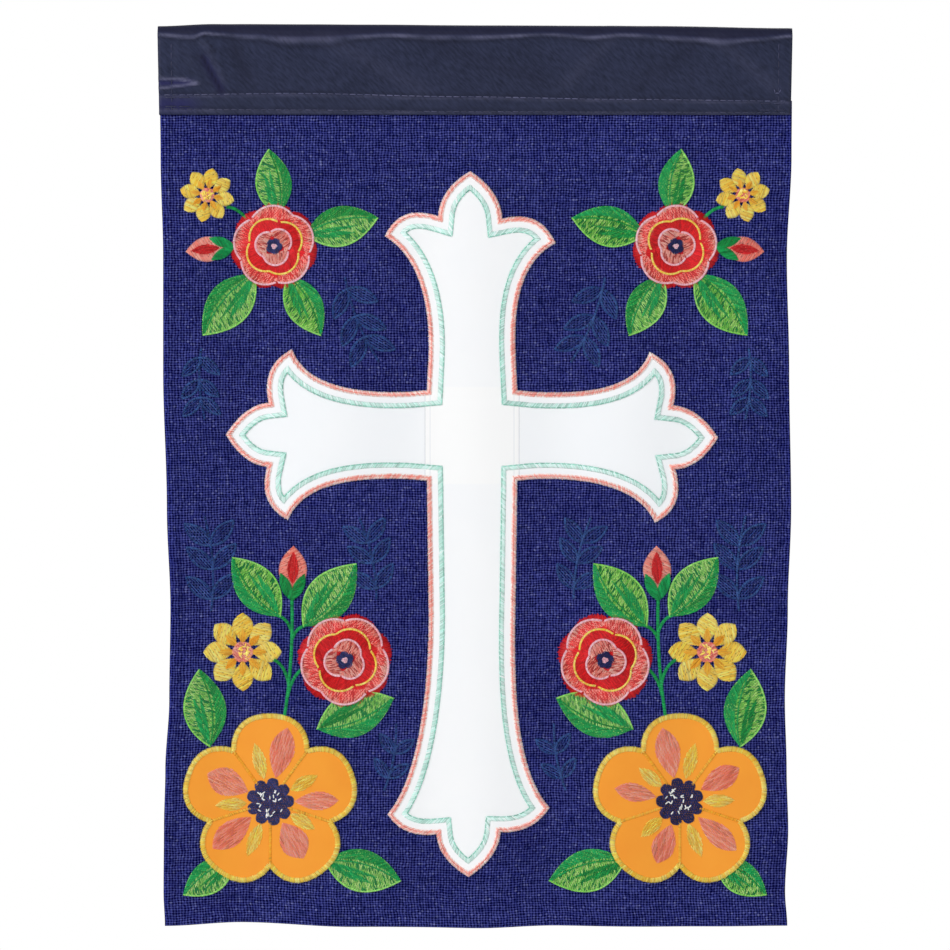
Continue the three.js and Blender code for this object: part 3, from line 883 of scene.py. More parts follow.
def sleeve_finish():
    satin = Finish("dark_satin", {"Specular IOR Level": 0.2})
    weave = satin.lengths("weave")
    along, down = satin.part(weave, "X"), satin.part(weave, "Y")
    twill = (along + down * SATIN_SLANT).wave(SATIN_PITCH)
    slant = satin.vector((along - down) * STREAKS_ALONG, (along + down) * STREAKS_ACROSS)
    streaks = satin.noise(slant, 1.0, 4)
    cloud = satin.noise(weave, SATIN_CLOUD_SCALE, 3)
    glint = satin.marks("glint")
    light = streaks * LIGHT_STREAKS + cloud * LIGHT_CLOUD - LIGHT_LEVEL
    colour = satin.blend(light, SATIN_DYE, SATIN_LIGHT_DYE)
    # The glint marks paint a violet cast, shade and highlight onto the satin.
    colour = satin.blend(satin.part(glint, "Z") * VIOLET_SHARE, colour, VIOLET_DYE)
    colour = satin.blend(satin.part(glint, "Y") * SHADE_SHARE, colour, SHADE_DYE)
    shine = satin.part(glint, "X") * (SHINE_SHARE + streaks * SHINE_STREAKS)
    colour = satin.blend(shine, colour, SHINE_DYE)
    relief = satin.bump(twill * SATIN_RIBS + streaks, SATIN_BUMP, SATIN_DEPTH)
    rough = SATIN_ROUGHNESS + cloud * SATIN_ROUGHER
    satin.set(Base_Color=colour, Roughness=rough, Normal=relief)
    return satin.material


sleeve.data.materials.append(sleeve_finish())
print("sleeve strip:", round(2 * SLEEVE_HALF / MM), "by", round(strip[-1] / MM), "mm")

# %% [markdown]
# ## Outlines on the face
# The cross is the traditional one with flared arms and three-pointed ends. Each end is three
# curves and their mirror image, drawn along one arm and turned to the other three. Stitched lines
# follow the same outline drawn in by a distance, so curves are moved sideways and cut where they
# meet. Flowers and leaves are short formulas too.

# %% sizes of the cross
CROSS_PLACE = np.array([-1.5, -208]) * MM
BAR_HALF = 22.2 * MM
CORNER_HALF = 23 * MM
ARMS = rows_of(
    "name turn reach flare hook droop sway lean span plump",
    ("left", 180, 125.2, 60, 9, -0.8, -0.4, 0.025, 1, 0.9),
    ("foot", -90, 224.3, 110, 24, 0, -1.8, -0.04, 0.95, 0.62),
    ("right", 0, 125, 60, 9, 0, -1, -0.03, 1, 0.95),
    ("head", 90, 134.3, 60, 13, 1.3, 0.9, 0.04, 1, 1),
)
ARM_LENGTHS = ("reach", "flare", "hook", "droop", "sway")
NOTCH = np.array([22.2, 16.3]) * MM
HORN = np.array([33.6, 43.4]) * MM
LOBE_BEND = np.array([9.5, 15.4]) * MM
HORN_BEND = np.array([16.5, 36]) * MM
FLARE_OUT = 20 * MM
CURVE_STEPS = 16
print("arms reach:", {arm["name"]: arm["reach"] for arm in ARMS}, "mm")


# %% one end of the cross
def bow(start, bend, end):
    """A curve from a start to an end, drawn towards a bend."""
    t = np.linspace(0, 1, CURVE_STEPS + 1)[:, None]
    return (1 - t) ** 2 * np.array(start) + 2 * t * (1 - t) * np.array(bend) + t**2 * np.array(end)


def turned(points, degrees):
    angle = math.radians(degrees)
    spin = np.array([[math.cos(angle), math.sin(angle)], [-math.sin(angle), math.cos(angle)]])
    return np.asarray(points) @ spin


def cross_end(arm):
    """One end of the cross as smooth stretches, with x out along the arm, set a little askew."""
    reach, flare, hook, droop, sway = (arm[key] * MM for key in ARM_LENGTHS)
    shoulder = reach - droop
    tip = np.array([reach, 0])
    horn = np.array([shoulder - HORN[0], -HORN[1] * arm["span"]])
    notch = np.array([shoulder - NOTCH[0], -NOTCH[1]])
    neck = np.array([horn[0] - flare, -BAR_HALF])
    inner = np.array([[CORNER_HALF, -CORNER_HALF]])
    full_bend = np.array([shoulder - HORN_BEND[0], -HORN_BEND[1]])
    flat_bend = (horn + notch) / 2
    horn_bend = flat_bend + (full_bend - flat_bend) * arm["plump"]
    right = [
        np.concatenate([inner, bow(neck, (horn[0] - hook, -FLARE_OUT), horn)]),
        bow(horn, horn_bend, notch),
        bow(notch, (reach - LOBE_BEND[0], -LOBE_BEND[1]), tip),
    ]
    lines = right + [line[::-1] * (1, -1) for line in right[::-1]]
    for line in lines:
        share = smooth((line[:, 0] - neck[0]) / flare)
        line += np.stack([arm["lean"] * line[:, 1] * share, sway * share], 1)
    return lines


def moved(line, distance):
    """A line moved sideways by a distance."""
    way = np.gradient(line, axis=0)
    way /= np.hypot(way[:, 0], way[:, 1])[:, None]
    return line + np.stack([-way[:, 1], way[:, 0]], 1) * distance


# %% meeting of two stretches
def crossing(a, b, c, d):
    """Shares along two segments at which their lines cross."""
    ab, cd, ac = b - a, d - c, c - a
    turn = ab[0] * cd[1] - ab[1] * cd[0]
    return (ac[0] * cd[1] - ac[1] * cd[0]) / turn, (ac[0] * ab[1] - ac[1] * ab[0]) / turn


def joined(one, two):
    """Two lines cut back to the point where they meet, or drawn out to it."""
    for i in range(len(one) - 2, -1, -1):
        for j in range(len(two) - 1):
            first, second = crossing(one[i], one[i + 1], two[j], two[j + 1])
            if 0 <= first <= 1 and 0 <= second <= 1:
                point = one[i] + (one[i + 1] - one[i]) * first
                return np.vstack([one[: i + 1], point]), np.vstack([point, two[j + 1 :]])
    first, _ = crossing(one[-2], one[-1], two[0], two[1])
    point = one[-2] + (one[-1] - one[-2]) * first
    return np.vstack([one[:-1], point]), np.vstack([point, two[1:]])


# %% the whole outline
def cross_stretches(inset):
    """The smooth stretches of the outline drawn in by a distance, meeting at their ends."""
    stretches = []
    for arm in ARMS:
        for line in cross_end(arm):
            stretches.append(moved(turned(line, arm["turn"]), inset))
    for i in range(len(stretches)):
        after = (i + 1) % len(stretches)
        stretches[i], stretches[after] = joined(stretches[i], stretches[after])
    return [line + CROSS_PLACE for line in stretches]


def cross_ends(inset):
    """The four ends of the cross, each one line round its end."""
    stretches = cross_stretches(inset)
    each = len(stretches) // len(ARMS)
    ends = {}
    for number, arm in enumerate(ARMS):
        lines = stretches[number * each : (number + 1) * each]
        ends[arm["name"]] = np.vstack([line[:-1] for line in lines] + [lines[-1][-1:]])
    return ends


outline = np.vstack(list(cross_ends(0).values()))
print("cross:", np.round(np.ptp(outline, axis=0) / MM), "mm,", len(outline), "points")

# %% [markdown]
# ## Stitches
# Machine embroidery is made of single stitches, and their crowns are what catches the light. Each
# stitch here is a low three-sided bar of thread that rises from the cloth, runs flat and dives
# again. There are many thousands, so they are worked out as arrays and joined into one mesh for
# each piece, and every stitch carries its own shade of the dye. Satin stitch runs across a line,
# fill stitch in staggered rows over a shape, and running stitch along a line.

# %% along a line
chance = np.random.default_rng(18)


def lengths_along(path):
    """Length of a line up to each of its points."""
    return np.concatenate([[0], np.cumsum(np.hypot(*np.diff(path, axis=0).T))])


def points_at(path, length, places):
    """Points of a line at places along its length."""
    return np.stack([np.interp(places, length, path[:, i]) for i in (0, 1)], 1)


def spaced(path, step, closed=False):
    """Points at an even step along a line, and the direction there."""
    path = np.asarray(path)
    if closed:
        path = np.vstack([path, path[:1]])
    length = lengths_along(path)
    places = np.linspace(0, length[-1], max(int(length[-1] / step), 2), endpoint=not closed)
    points = points_at(path, length, places)
    ends = np.roll(points, -1, 0) - np.roll(points, 1, 0) if closed else np.gradient(points, axis=0)
    return points, ends / np.hypot(ends[:, 0], ends[:, 1])[:, None]


print("outline of the cross:", round(lengths_along(outline)[-1] / MM), "mm")

# %% satin and running stitches
SATIN_STEP = 0.41 * MM
SATIN_UNEVEN = 0.045
BETWEEN_UNEVEN = 0.03


def satin(path, width, closed=False):
    """Stitches straight across a line."""
    points, way = spaced(path, SATIN_STEP, closed)
    beside = np.stack([-way[:, 1], way[:, 0]], 1)
    half = width / 2 * (1 + chance.normal(0, SATIN_UNEVEN, (len(points), 2)))
    lean = way * SATIN_STEP / 2
    return points - beside * half[:, :1] - lean, points + beside * half[:, 1:] + lean


def satin_between(outer, inner):
    """Stitches from one line across to another, as many along both."""
    count = max(len(spaced(line, SATIN_STEP)[0]) for line in (outer, inner))
    ends = []
    for line in (outer, inner):
        length = lengths_along(line)
        ends.append(points_at(line, length, length[-1] * (np.arange(count) + 0.5) / count))
    way = (ends[0] - ends[1]) * chance.normal(0, BETWEEN_UNEVEN, (2, count, 1))
    return ends[0] + way[0], ends[1] + way[1]


def cross_satin(outer, inner):
    """Satin stitches round the cross between two insets of its outline."""
    pairs = zip(cross_stretches(outer), cross_stretches(inner))
    stitches = [satin_between(*pair) for pair in pairs]
    return [np.vstack(ends) for ends in zip(*stitches)]


def running(path, length, gap):
    """Stitches end to end along a line."""
    points, _ = spaced(path, length + gap)
    way = np.diff(points, axis=0)
    reach = way * length / (length + gap) / 2
    middle = points[:-1] + way / 2
    return middle - reach, middle + reach


# %% fill stitches
FILL_STEP = 0.5 * MM
FILL_LENGTH = 4.2 * MM
STAGGER = 0.382
SHORT_PART = 5
SHUFFLE_PART = 14


def fill(shape, turn, step=FILL_STEP, length=FILL_LENGTH):
    """Staggered rows of stitches over a closed shape."""
    corners = turned(shape, -turn)
    after = np.roll(corners, -1, 0)
    starts, ends = [], []
    short = length / SHORT_PART
    low, high = corners[:, 1].min(), corners[:, 1].max()
    for number, level in enumerate(np.arange(low + step / 2, high, step)):
        hit = (corners[:, 1] <= level) != (after[:, 1] <= level)
        share = (level - corners[hit, 1]) / (after[hit, 1] - corners[hit, 1])
        cuts = np.sort(corners[hit, 0] + share * (after[hit, 0] - corners[hit, 0]))
        for left, right in zip(cuts[0::2], cuts[1::2]):
            shift = (number * STAGGER % 1) * length
            inner = np.arange(math.floor(left / length) * length + shift, right, length)
            inner = inner[(inner > left + short) & (inner < right - short)]
            inner = inner + chance.normal(0, length / SHUFFLE_PART, len(inner))
            line = np.concatenate([[left], inner, [right]])
            starts += [(place, level) for place in line[:-1]]
            ends += [(place, level) for place in line[1:]]
    return turned(starts, turn), turned(ends, turn)


# %% a piece of needlework
THREAD = 0.46 * MM
LOFT = 0.32 * MM
STATIONS = np.array([0, 0.2, 0.8, 1.0])
CROWN = np.array([0.3, 1, 1, 0.3])
DIVE = np.array([-0.3, 1, 1, -0.3])
CLIMB = np.array([0, 0.85, 1, 1])
TIPS = np.array([1, 0, 0, 1])
BAR_SPREAD = 0.55 + 0.45 * CROWN
TONE_SPREAD, TONE_LOW, TONE_HIGH = 0.12, 0.7, 1.3
RISE_SPREAD = 0.08
# How much deeper the painted shade makes stitches running up to the right.
SHINE_LEAN = 0.25
LEAST_LENGTH, LEAST_SQUARE = 1e-6, 1e-12


class Needlework:
    """Stitches gathered for one piece."""

    def __init__(self):
        self.starts, self.ends, self.dyes = [], [], []
        self.rises, self.grounds, self.lofts = [], [], []

    def lay(self, stitches, dyes, rise, ground=0.0, loft=LOFT, pale=0.0):
        """Adds stitches over a ground, which may differ from their start to their end."""
        starts, ends = stitches
        count = len(starts)
        way = ends - starts
        square = np.maximum((way**2).sum(1, keepdims=True), LEAST_SQUARE)
        lean = 2 * way[:, :1] * way[:, 1:] / square
        shade = np.array(dyes)[chance.integers(0, len(dyes), count), :3]
        # Painted shade: stitches that run up to the right turn their shine away from the lamps, so
        # their dye is made deeper and darker.
        shade = shade ** (1 + SHINE_LEAN * np.maximum(lean, 0))
        tone = np.clip(chance.normal(1, TONE_SPREAD, (count, 1)), TONE_LOW, TONE_HIGH)
        self.starts.append(starts)
        self.ends.append(ends)
        # Painted highlight: both ends of each stitch are made paler by the share pale.
        tips = 1 + pale * TIPS[:, None]
        self.dyes.append(np.minimum((shade * tone)[:, None] * tips, 1))
        self.rises.append(rise * chance.normal(1, RISE_SPREAD, count))
        self.grounds.append(np.broadcast_to(ground, (count, 2)))
        self.lofts.append(np.full(count, loft))

    def sewn(self, name, surface=face, width=THREAD):
        """All stitches as one mesh object on a surface."""
        start, end = np.vstack(self.starts), np.vstack(self.ends)
        rises, lofts = np.concatenate(self.rises), np.concatenate(self.lofts)
        ground = np.vstack(self.grounds)
        way = end - start
        length = np.maximum(np.hypot(way[:, 0], way[:, 1]), LEAST_LENGTH)
        beside = np.stack([-way[:, 1], way[:, 0]], 1) / length[:, None] * width / 2
        middle = start[:, None] + way[:, None] * STATIONS[:, None]
        base = ground[:, :1] + np.diff(ground) * CLIMB + rises[:, None] * DIVE
        crown = base + lofts[:, None] * CROWN
        points = np.empty((len(start), len(STATIONS), 3, 3))
        for corner, (side, height) in enumerate(((1, base), (0, crown), (-1, base))):
            place = middle + side * beside[:, None] * BAR_SPREAD[:, None]
            points[:, :, corner, 0] = place[..., 0]
            points[:, :, corner, 2] = place[..., 1]
            points[:, :, corner, 1] = surface(place[..., 0], place[..., 1], height)
        along = length[:, None] * STATIONS
        return thread_mesh(name, points, np.vstack(self.dyes), along)


# %% stitches as a mesh
def bar_faces():
    """Triangles of one stitch: two sloping sides and an underside in each stretch, and two ends."""
    faces = []
    last = len(STATIONS) - 1
    for k in range(last):
        left, top, right = 3 * k, 3 * k + 1, 3 * k + 2
        for a, b in ((left, top), (top, right), (right, left)):
            faces += [(a, b, b + 3), (a, b + 3, a + 3)]
    return np.array(faces + [(0, 2, 1), (3 * last, 3 * last + 1, 3 * last + 2)])


def thread_mesh(name, points, dyes, along):
    """One object from the corners, dyes and lengths of many stitches."""
    each = points.shape[1] * points.shape[2]
    corners = points.reshape(-1, 3)
    faces = (bar_faces()[None] + each * np.arange(len(points))[:, None, None]).reshape(-1, 3)
    mesh = bpy.data.meshes.new(name)
    mesh.vertices.add(len(corners))
    mesh.vertices.foreach_set("co", corners.ravel())
    mesh.loops.add(faces.size)
    mesh.loops.foreach_set("vertex_index", faces.ravel())
    mesh.polygons.add(len(faces))
    mesh.polygons.foreach_set("loop_start", np.arange(0, faces.size, 3))
    mesh.update(calc_edges=True)
    shades = np.repeat(dyes.reshape(-1, 3), points.shape[2], 0)
    colour = np.concatenate([shades, np.ones((len(corners), 1))], 1)
    dyed = mesh.color_attributes.new("dye", "FLOAT_COLOR", "POINT")
    dyed.data.foreach_set("color", colour.ravel())
    thread = np.stack([np.repeat(along, 3), np.tile([0, 0.5, 1], along.size)], 1)
    mesh.uv_layers.new(name="thread").data.foreach_set("uv", thread[faces.ravel()].ravel())
    mesh.shade_smooth()
    piece = bpy.data.objects.new(name, mesh)
    bpy.context.scene.collection.objects.link(piece)
    piece.data.materials.append(thread_finish)
    return piece


print("one stitch:", len(bar_faces()), "faces")

# %% [markdown]
# ## Thread finish
# Embroidery thread is bright two-ply yarn with a silky shine along its crown. The dye comes from
# each stitch and the ply's twist from a cosine along the thread. Shade is painted onto the sides
# of a stitch, darker than its crown, as light that falls between threads is lost, and a little
# highlight is painted along the twist.

# %% thread finish
TWIST = 0.7 * MM
SIDE_LIGHT, CROWN_MORE, TWIST_MORE = 0.86, 0.24, 0.08
SIDE_ROUGHNESS, CROWN_SMOOTHER = 0.5, 0.12
TWIST_BUMP, TWIST_DEPTH = 0.2, 0.06 * MM


def embroidery_thread():
    thread = Finish("embroidery_thread", {"Specular IOR Level": 0.4})
    dyed = thread.marks("dye")
    place = thread.lengths("thread")
    along, around = thread.part(place, "X"), thread.part(place, "Y")
    twist = (along / TWIST + around).wave(1) * 0.5 + 0.5
    crown = 1 - ((around - 0.5) * 2) ** 2
    # Painted shade on the sides of a stitch and painted highlight on its crown and along the twist.
    shade = SIDE_LIGHT + crown * CROWN_MORE + twist * TWIST_MORE
    colour = thread.blend(1.0, dyed, thread.vector(shade, shade, shade), "MULTIPLY")
    relief = thread.bump(twist, TWIST_BUMP, TWIST_DEPTH)
    thread.set(Base_Color=colour, Roughness=SIDE_ROUGHNESS - crown * CROWN_SMOOTHER, Normal=relief)
    return thread.material


thread_finish = embroidery_thread()
print("thread finish:", len(thread_finish.node_tree.nodes), "nodes")

# %% [markdown]
# ## The cross
# The cross is white twill, cut out, laid on the panel and held by a dense coral satin edge, with a
# narrow mint satin line inside. The cloth is cut from a thin grid slab by a prism of the outline,
# so that it still has the corners to bend with the ripples. Its cut edge lies under the stitches.

# %% appliqué cutter
CLOTH_WALL = 0.6 * MM
CLOTH_CELL = 3.2 * MM
CUTTER_WALLS = 10
SHARP_DEGREES = 40


def outline_prism(points, depth):
    """A prism of an outline through the flag's face."""
    bpy.ops.object.select_all(action="DESELECT")
    bpy.ops.mesh.primitive_circle_add(vertices=len(points), radius=1, fill_type="NGON")
    cutter = bpy.context.object
    put_corners(cutter, np.stack([points[:, 0], np.full(len(points), -depth / 2), points[:, 1]], 1))
    bpy.ops.object.mode_set(mode="EDIT")
    bpy.ops.mesh.select_all(action="SELECT")
    bpy.ops.mesh.extrude_region_move(TRANSFORM_OT_translate={"value": (0, depth, 0)})
    face_outwards()
    bpy.ops.object.mode_set(mode="OBJECT")
    return cutter


def cut_cloth(name, points, lift):
    """A piece of cloth of an outline, bent with the panel and lifted off its face."""
    low, high = points.min(0) - CLOTH_CELL, points.max(0) + CLOTH_CELL
    columns, rows = (np.ceil((high - low) / CLOTH_CELL) + 1).astype(int)
    cloth, column, row = new_grid(name, columns, rows)
    x = low[0] + (high[0] - low[0]) * column / (columns - 1)
    z = high[1] - (high[1] - low[1]) * row / (rows - 1)
    put_corners(cloth, np.stack([x, np.zeros(len(x)), z], 1))
    apply(cloth, "SOLIDIFY", thickness=CLOTH_WALL, offset=0)
    cutter = outline_prism(points, CUTTER_WALLS * CLOTH_WALL)
    apply(cloth, "BOOLEAN", operation="INTERSECT", object=cutter, solver="EXACT")
    bpy.data.objects.remove(cutter)
    corners = get_corners(cloth)
    corners[:, 1] += face(corners[:, 0], corners[:, 2], lift + CLOTH_WALL / 2)
    put_corners(cloth, corners)
    bpy.ops.object.shade_smooth_by_angle(angle=math.radians(SHARP_DEGREES))
    return cloth


# %% cross cloth
EDGE_WIDTH = 2.7 * MM
CLOTH_LIFT = 0.3 * MM
UPRIGHT_LIFT = 0.1 * MM
SEAM_HALF = 23.9 * MM
SEAM_GAP = 0.05 * MM


def cross_cuts(inset):
    """Outlines of the upright strip and of the two arms that come out from under it."""
    cuts = {}
    upright = []
    for name, end in cross_ends(inset).items():
        if name in SPRAYS:
            away = (end[:, 0] - CROSS_PLACE[0]) * SPRAYS[name]
            x = CROSS_PLACE[0] + SPRAYS[name] * np.maximum(away, SEAM_HALF + SEAM_GAP)
            cuts[f"cross_arm_{name}"] = np.stack([x, end[:, 1]], 1)
            end = np.stack([x[[0, -1]] - SPRAYS[name] * 2 * SEAM_GAP, end[[0, -1], 1]], 1)
        upright.append(end)
    cuts["cross_upright"] = np.vstack(upright)
    return cuts


cross_pieces = []
for name, points in cross_cuts(EDGE_WIDTH / 2).items():
    lift = CLOTH_LIFT + UPRIGHT_LIFT * (name == "cross_upright")
    cloth = cut_cloth(f"{name}_twill", points, lift)
    done(cloth, "white_cloth", name)
    cross_pieces.append(cloth)

# %% cross finish
UPRIGHT_DYES = (dye(252, 253, 255), dye(247, 249, 253))
ARM_DYES = (dye(250, 252, 255), dye(246, 249, 254))
DOUBLED_DYE = dye(255, 255, 255)
SEAM_DYE = dye(214, 219, 228)
CROSSBAR_HALF = 25 * MM
SEAM_STITCH = 2.6 * MM
SEAM_CRISP, STITCH_CRISP = 30, 60
TWILL_PITCH, TWILL_SLANT = 0.7 * MM, 0.6
TWILL_CLOUD_SCALE, TWILL_CLOUD, TWILL_CLOUD_LEVEL = 35, 0.9, 0.2
DOUBLED_SHARE, SEAM_SHARE = 0.7, 0.5
CLOUD_RELIEF, SEAM_RELIEF = 5, 4
TWILL_BUMP, TWILL_DEPTH = 0.14, 0.12 * MM


def white_twill(name, plain_dye, cloud_dye):
    """White twill that is whiter where arm and upright lie double, with a sewn row at each seam."""
    twill = Finish(name, {"Roughness": 0.75, "Sheen Weight": 0.08})
    place = twill.place()
    x, z = twill.part(place, "X"), twill.part(place, "Z")
    ribs = (x + z * TWILL_SLANT).wave(TWILL_PITCH)
    cloud = twill.noise(place, TWILL_CLOUD_SCALE, 3)
    colour = twill.blend(cloud * TWILL_CLOUD - TWILL_CLOUD_LEVEL, plain_dye, cloud_dye)
    aside = (x - CROSS_PLACE[0]).size() / SEAM_HALF
    above = (z - CROSS_PLACE[1]).size() / CROSSBAR_HALF
    doubled = ((1 - aside.at_least(above)) * SEAM_CRISP).share()
    colour = twill.blend(doubled * DOUBLED_SHARE, colour, DOUBLED_DYE)
    row = 1 - ((aside - 1 + SEAM_STITCH / SEAM_HALF).size() * STITCH_CRISP).at_most(1)
    sewn = row * ((1 - above) * SEAM_CRISP).share()
    colour = twill.blend(sewn * SEAM_SHARE, colour, SEAM_DYE)
    height = ribs + cloud * CLOUD_RELIEF - sewn * SEAM_RELIEF
    relief = twill.bump(height, TWILL_BUMP, TWILL_DEPTH)
    twill.set(Base_Color=colour, Normal=relief)
    return twill.material


upright_finish = white_twill("white_twill_upright", *UPRIGHT_DYES)
arm_finish = white_twill("white_twill_arms", *ARM_DYES)
for cloth in cross_pieces:
    cloth.data.materials.append(upright_finish if "upright" in cloth.name else arm_finish)
print("twill finish:", len(arm_finish.node_tree.nodes), "nodes")

# %% how far stitches rise
SUNK_RISE = 0.04 * MM
LOW_RISE = 0.1 * MM
FLAT_RISE = 0.12 * MM
SOFT_RISE = 0.15 * MM
FULL_RISE = 0.2 * MM
PLUMP_RISE = 0.25 * MM
HIGH_RISE = 0.3 * MM
EDGE_LOFT = 0.5 * MM
CLOTH_TOP = CLOTH_LIFT + CLOTH_WALL
print("top of the sewn-on cloth:", round(CLOTH_TOP / MM, 2), "mm off the panel")

# %% cross stitches
CORAL = [dye(254, 204, 199), dye(255, 226, 221), dye(252, 180, 171)]
DEEP_CORAL = [dye(242, 142, 128), dye(248, 156, 142)]
MINT = [dye(214, 241, 235), dye(227, 247, 243), dye(199, 232, 224)]
MINT_SHADE_DYES = [dye(136, 204, 184), dye(150, 213, 195)]
CROSS_THREAD = 0.54 * MM
# Share of painted highlight on both ends of each coral edge stitch.
EDGE_TIP_HIGHLIGHT = 0.6
EDGE_CORE = EDGE_WIDTH * 0.58
EDGE_CORE_STITCH = (2.2 * MM, 0.1 * MM)
EDGE_CORE_GROUND = CLOTH_TOP + 0.5 * MM
LINE_INSET = 5.7 * MM
LINE_WIDTH = 2.6 * MM
LINE_LOFT = 0.4 * MM
LINE_GROUND = CLOTH_TOP + UPRIGHT_LIFT
LINE_CORE = LINE_INSET + LINE_WIDTH * 0.82
LINE_CORE_STITCH = (2.4 * MM, 0.2 * MM)
LINE_CORE_GROUND = LINE_GROUND + 0.3 * MM

work = Needlework()
edge = cross_satin(0, EDGE_WIDTH)
work.lay(edge, CORAL, PLUMP_RISE, (0, CLOTH_TOP), EDGE_LOFT, EDGE_TIP_HIGHLIGHT)
for stretch in cross_stretches(EDGE_CORE):
    work.lay(running(stretch, *EDGE_CORE_STITCH), DEEP_CORAL, FLAT_RISE, EDGE_CORE_GROUND)
done(work.sewn("cross_edge_stitches", width=CROSS_THREAD), "coral_thread", "cross_border")
work = Needlework()
line = cross_satin(LINE_INSET, LINE_INSET + LINE_WIDTH)
work.lay(line, MINT, SOFT_RISE, LINE_GROUND, LINE_LOFT)
# A darker running line near the mint satin's inner side is painted shade on the raised satin's far
# side.
for stretch in cross_stretches(LINE_CORE):
    work.lay(running(stretch, *LINE_CORE_STITCH), MINT_SHADE_DYES, LOW_RISE, LINE_CORE_GROUND)
done(work.sewn("cross_line_stitches", width=CROSS_THREAD), "mint_thread", "cross_line")

# %% [markdown]
# ## Flowers and leaves
# The flowers stand in two sprays that mirror each other. An orange blossom is cut from cloth and
# edged with golden satin stitch, and the rest is thread alone. Every motif is a formula with a
# place, a size and a turn, so one table draws both halves.

# %% table of the sprays
FLOWERS = rows_of(
    "kind x z size turn",
    ("blossom", 104, -394, 45, 18),
    ("rosette", 66, -322, 24, 10),
    ("daisy", 118, -318, 20, 0),
    ("rosette", 102, -112, 22, 40),
    ("daisy", 136, -86, 14, 12),
)
LEAVES = rows_of(
    "kind x z size turn",
    ("bud", 93, -292, 28, 92),
    ("leaf", 87, -305, 42, 130),
    ("leaf", 99, -300, 39, 51),
    ("leaf", 80, -357, 42, 158),
    ("leaf", 76, -424, 40, 195),
    ("leaf", 134.5, -366, 40, 82),
    ("leaf", 122.5, -424, 31, -34),
    ("bud", 122, -112, 25, -6),
    ("leaf", 86, -106, 38, 167),
    ("leaf", 100, -96, 34, 82),
    ("leaf", 112, -126, 41, -50),
    ("leaf", 95, -127, 35, -119),
)
print("flowers on each side:", len(FLOWERS), "leaves and buds:", len(LEAVES))

# %% motifs on the face
CLEAR_SHARE = 0.9


class Motif:
    """A motif's own small frame on the face: x out along its turn, in metres."""

    def __init__(self, row, side, under=()):
        self.place = np.array([row["x"], row["z"]]) * MM
        self.size = row["size"] * MM
        self.turn = row["turn"]
        self.side = side
        self.under = under

    def put(self, points):
        return (turned(points, self.turn) + self.place) * (self.side, 1)

    def sew(self, work, stitches, dyes, rise, ground=0.0, loft=LOFT):
        """Lays stitches on the flag, without those that would lie under a flower."""
        starts, ends = self.put(stitches[0]), self.put(stitches[1])
        kept = np.full(len(starts), True)
        for flower in self.under:
            middle = flower.put([(0, 0)])
            away = np.maximum(np.hypot(*(starts - middle).T), np.hypot(*(ends - middle).T))
            kept &= away > CLEAR_SHARE * flower.size
        work.lay((starts[kept], ends[kept]), dyes, rise, ground, loft)


def motifs(rows, kind, side):
    under = [Motif(row, side) for row in FLOWERS] if rows is LEAVES else ()
    return [Motif(row, side, under) for row in rows if row["kind"] == kind]


def nodes_of(kind, side_name):
    return sorted(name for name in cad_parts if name.startswith(f"{kind}_{side_name}_"))


# %% flower formulas
PETAL_ROUNDNESS = 1.6
PETAL_STEPS = 14
RAY_TIP_UNEVEN, RAY_ROOT_UNEVEN = 0.012, 0.06


def ways(angle):
    """Directions of a row of angles."""
    return np.stack([np.cos(angle), np.sin(angle)], 1)


def petal_reach(angle, count, cleft):
    """Share of a flower's radius at an angle, less in the clefts between its petals."""
    fold = 1 - np.abs(np.cos(count * angle / 2))
    return 1 - cleft * fold**PETAL_ROUNDNESS


def petal_ring(radius, count, cleft):
    """Outline of a flower with round petals."""
    angle = np.linspace(0, 2 * math.pi, count * PETAL_STEPS, endpoint=False)
    return ways(angle) * (radius * petal_reach(angle, count, cleft))[:, None]


def corolla(size, shares):
    """A ring by shares of a motif's size: its radius, and its petals and their clefts."""
    radius, count, cleft = shares
    return petal_ring(size * radius, count, cleft)


def rays(count, cleft, inner, outer):
    """Stitches from an inner circle out to a ring of petals."""
    amount = int(2 * math.pi * outer / SATIN_STEP)
    angle = np.linspace(0, 2 * math.pi, amount, endpoint=False)
    reach = outer * petal_reach(angle, count, cleft)
    reach = reach * (1 + chance.normal(0, RAY_TIP_UNEVEN, amount))
    root = inner * (1 + chance.normal(0, RAY_ROOT_UNEVEN, amount))
    return ways(angle) * root[:, None], ways(angle) * reach[:, None]


def almond(start, end, half, lean=0.45):
    """Outline of a leaf or streak along x, fullest at a lean of its length."""
    foot, tip = np.array([start, 0.0]), np.array([end, 0.0])
    bend = np.array([start + (end - start) * lean, 2 * half])
    return np.vstack([bow(foot, bend * (1, -1), tip)[:-1], bow(tip, bend, foot)[:-1]])


def blade(size, shares):
    """An almond by shares of a motif's size: its start, end, half width and lean."""
    start, end, half, lean = shares
    return almond(size * start, size * end, size * half, lean)


# %% dyes
GOLD = [dye(255, 226, 112), dye(255, 234, 138), dye(254, 214, 88)]
AMBER = [dye(248, 184, 56), dye(252, 196, 76)]
RED = [dye(220, 30, 40), dye(208, 24, 34), dye(230, 44, 50)]
SALMON = [dye(252, 164, 150), dye(255, 182, 168), dye(244, 144, 130)]
BLUSH = [dye(250, 172, 160), dye(255, 196, 184), dye(204, 88, 84), dye(244, 150, 136)]
PINK = [dye(250, 196, 208), dye(252, 208, 218)]
NAVY = [dye(50, 58, 116), dye(58, 68, 130), dye(42, 50, 102)]
SPRIG = [dye(46, 80, 142), dye(56, 94, 160), dye(36, 64, 120)]
LIGHT_GREEN = [dye(140, 212, 100), dye(196, 236, 146), dye(44, 156, 80), dye(164, 224, 118)]
DEEP_GREEN = [dye(12, 164, 88), dye(6, 148, 78), dye(26, 180, 100)]
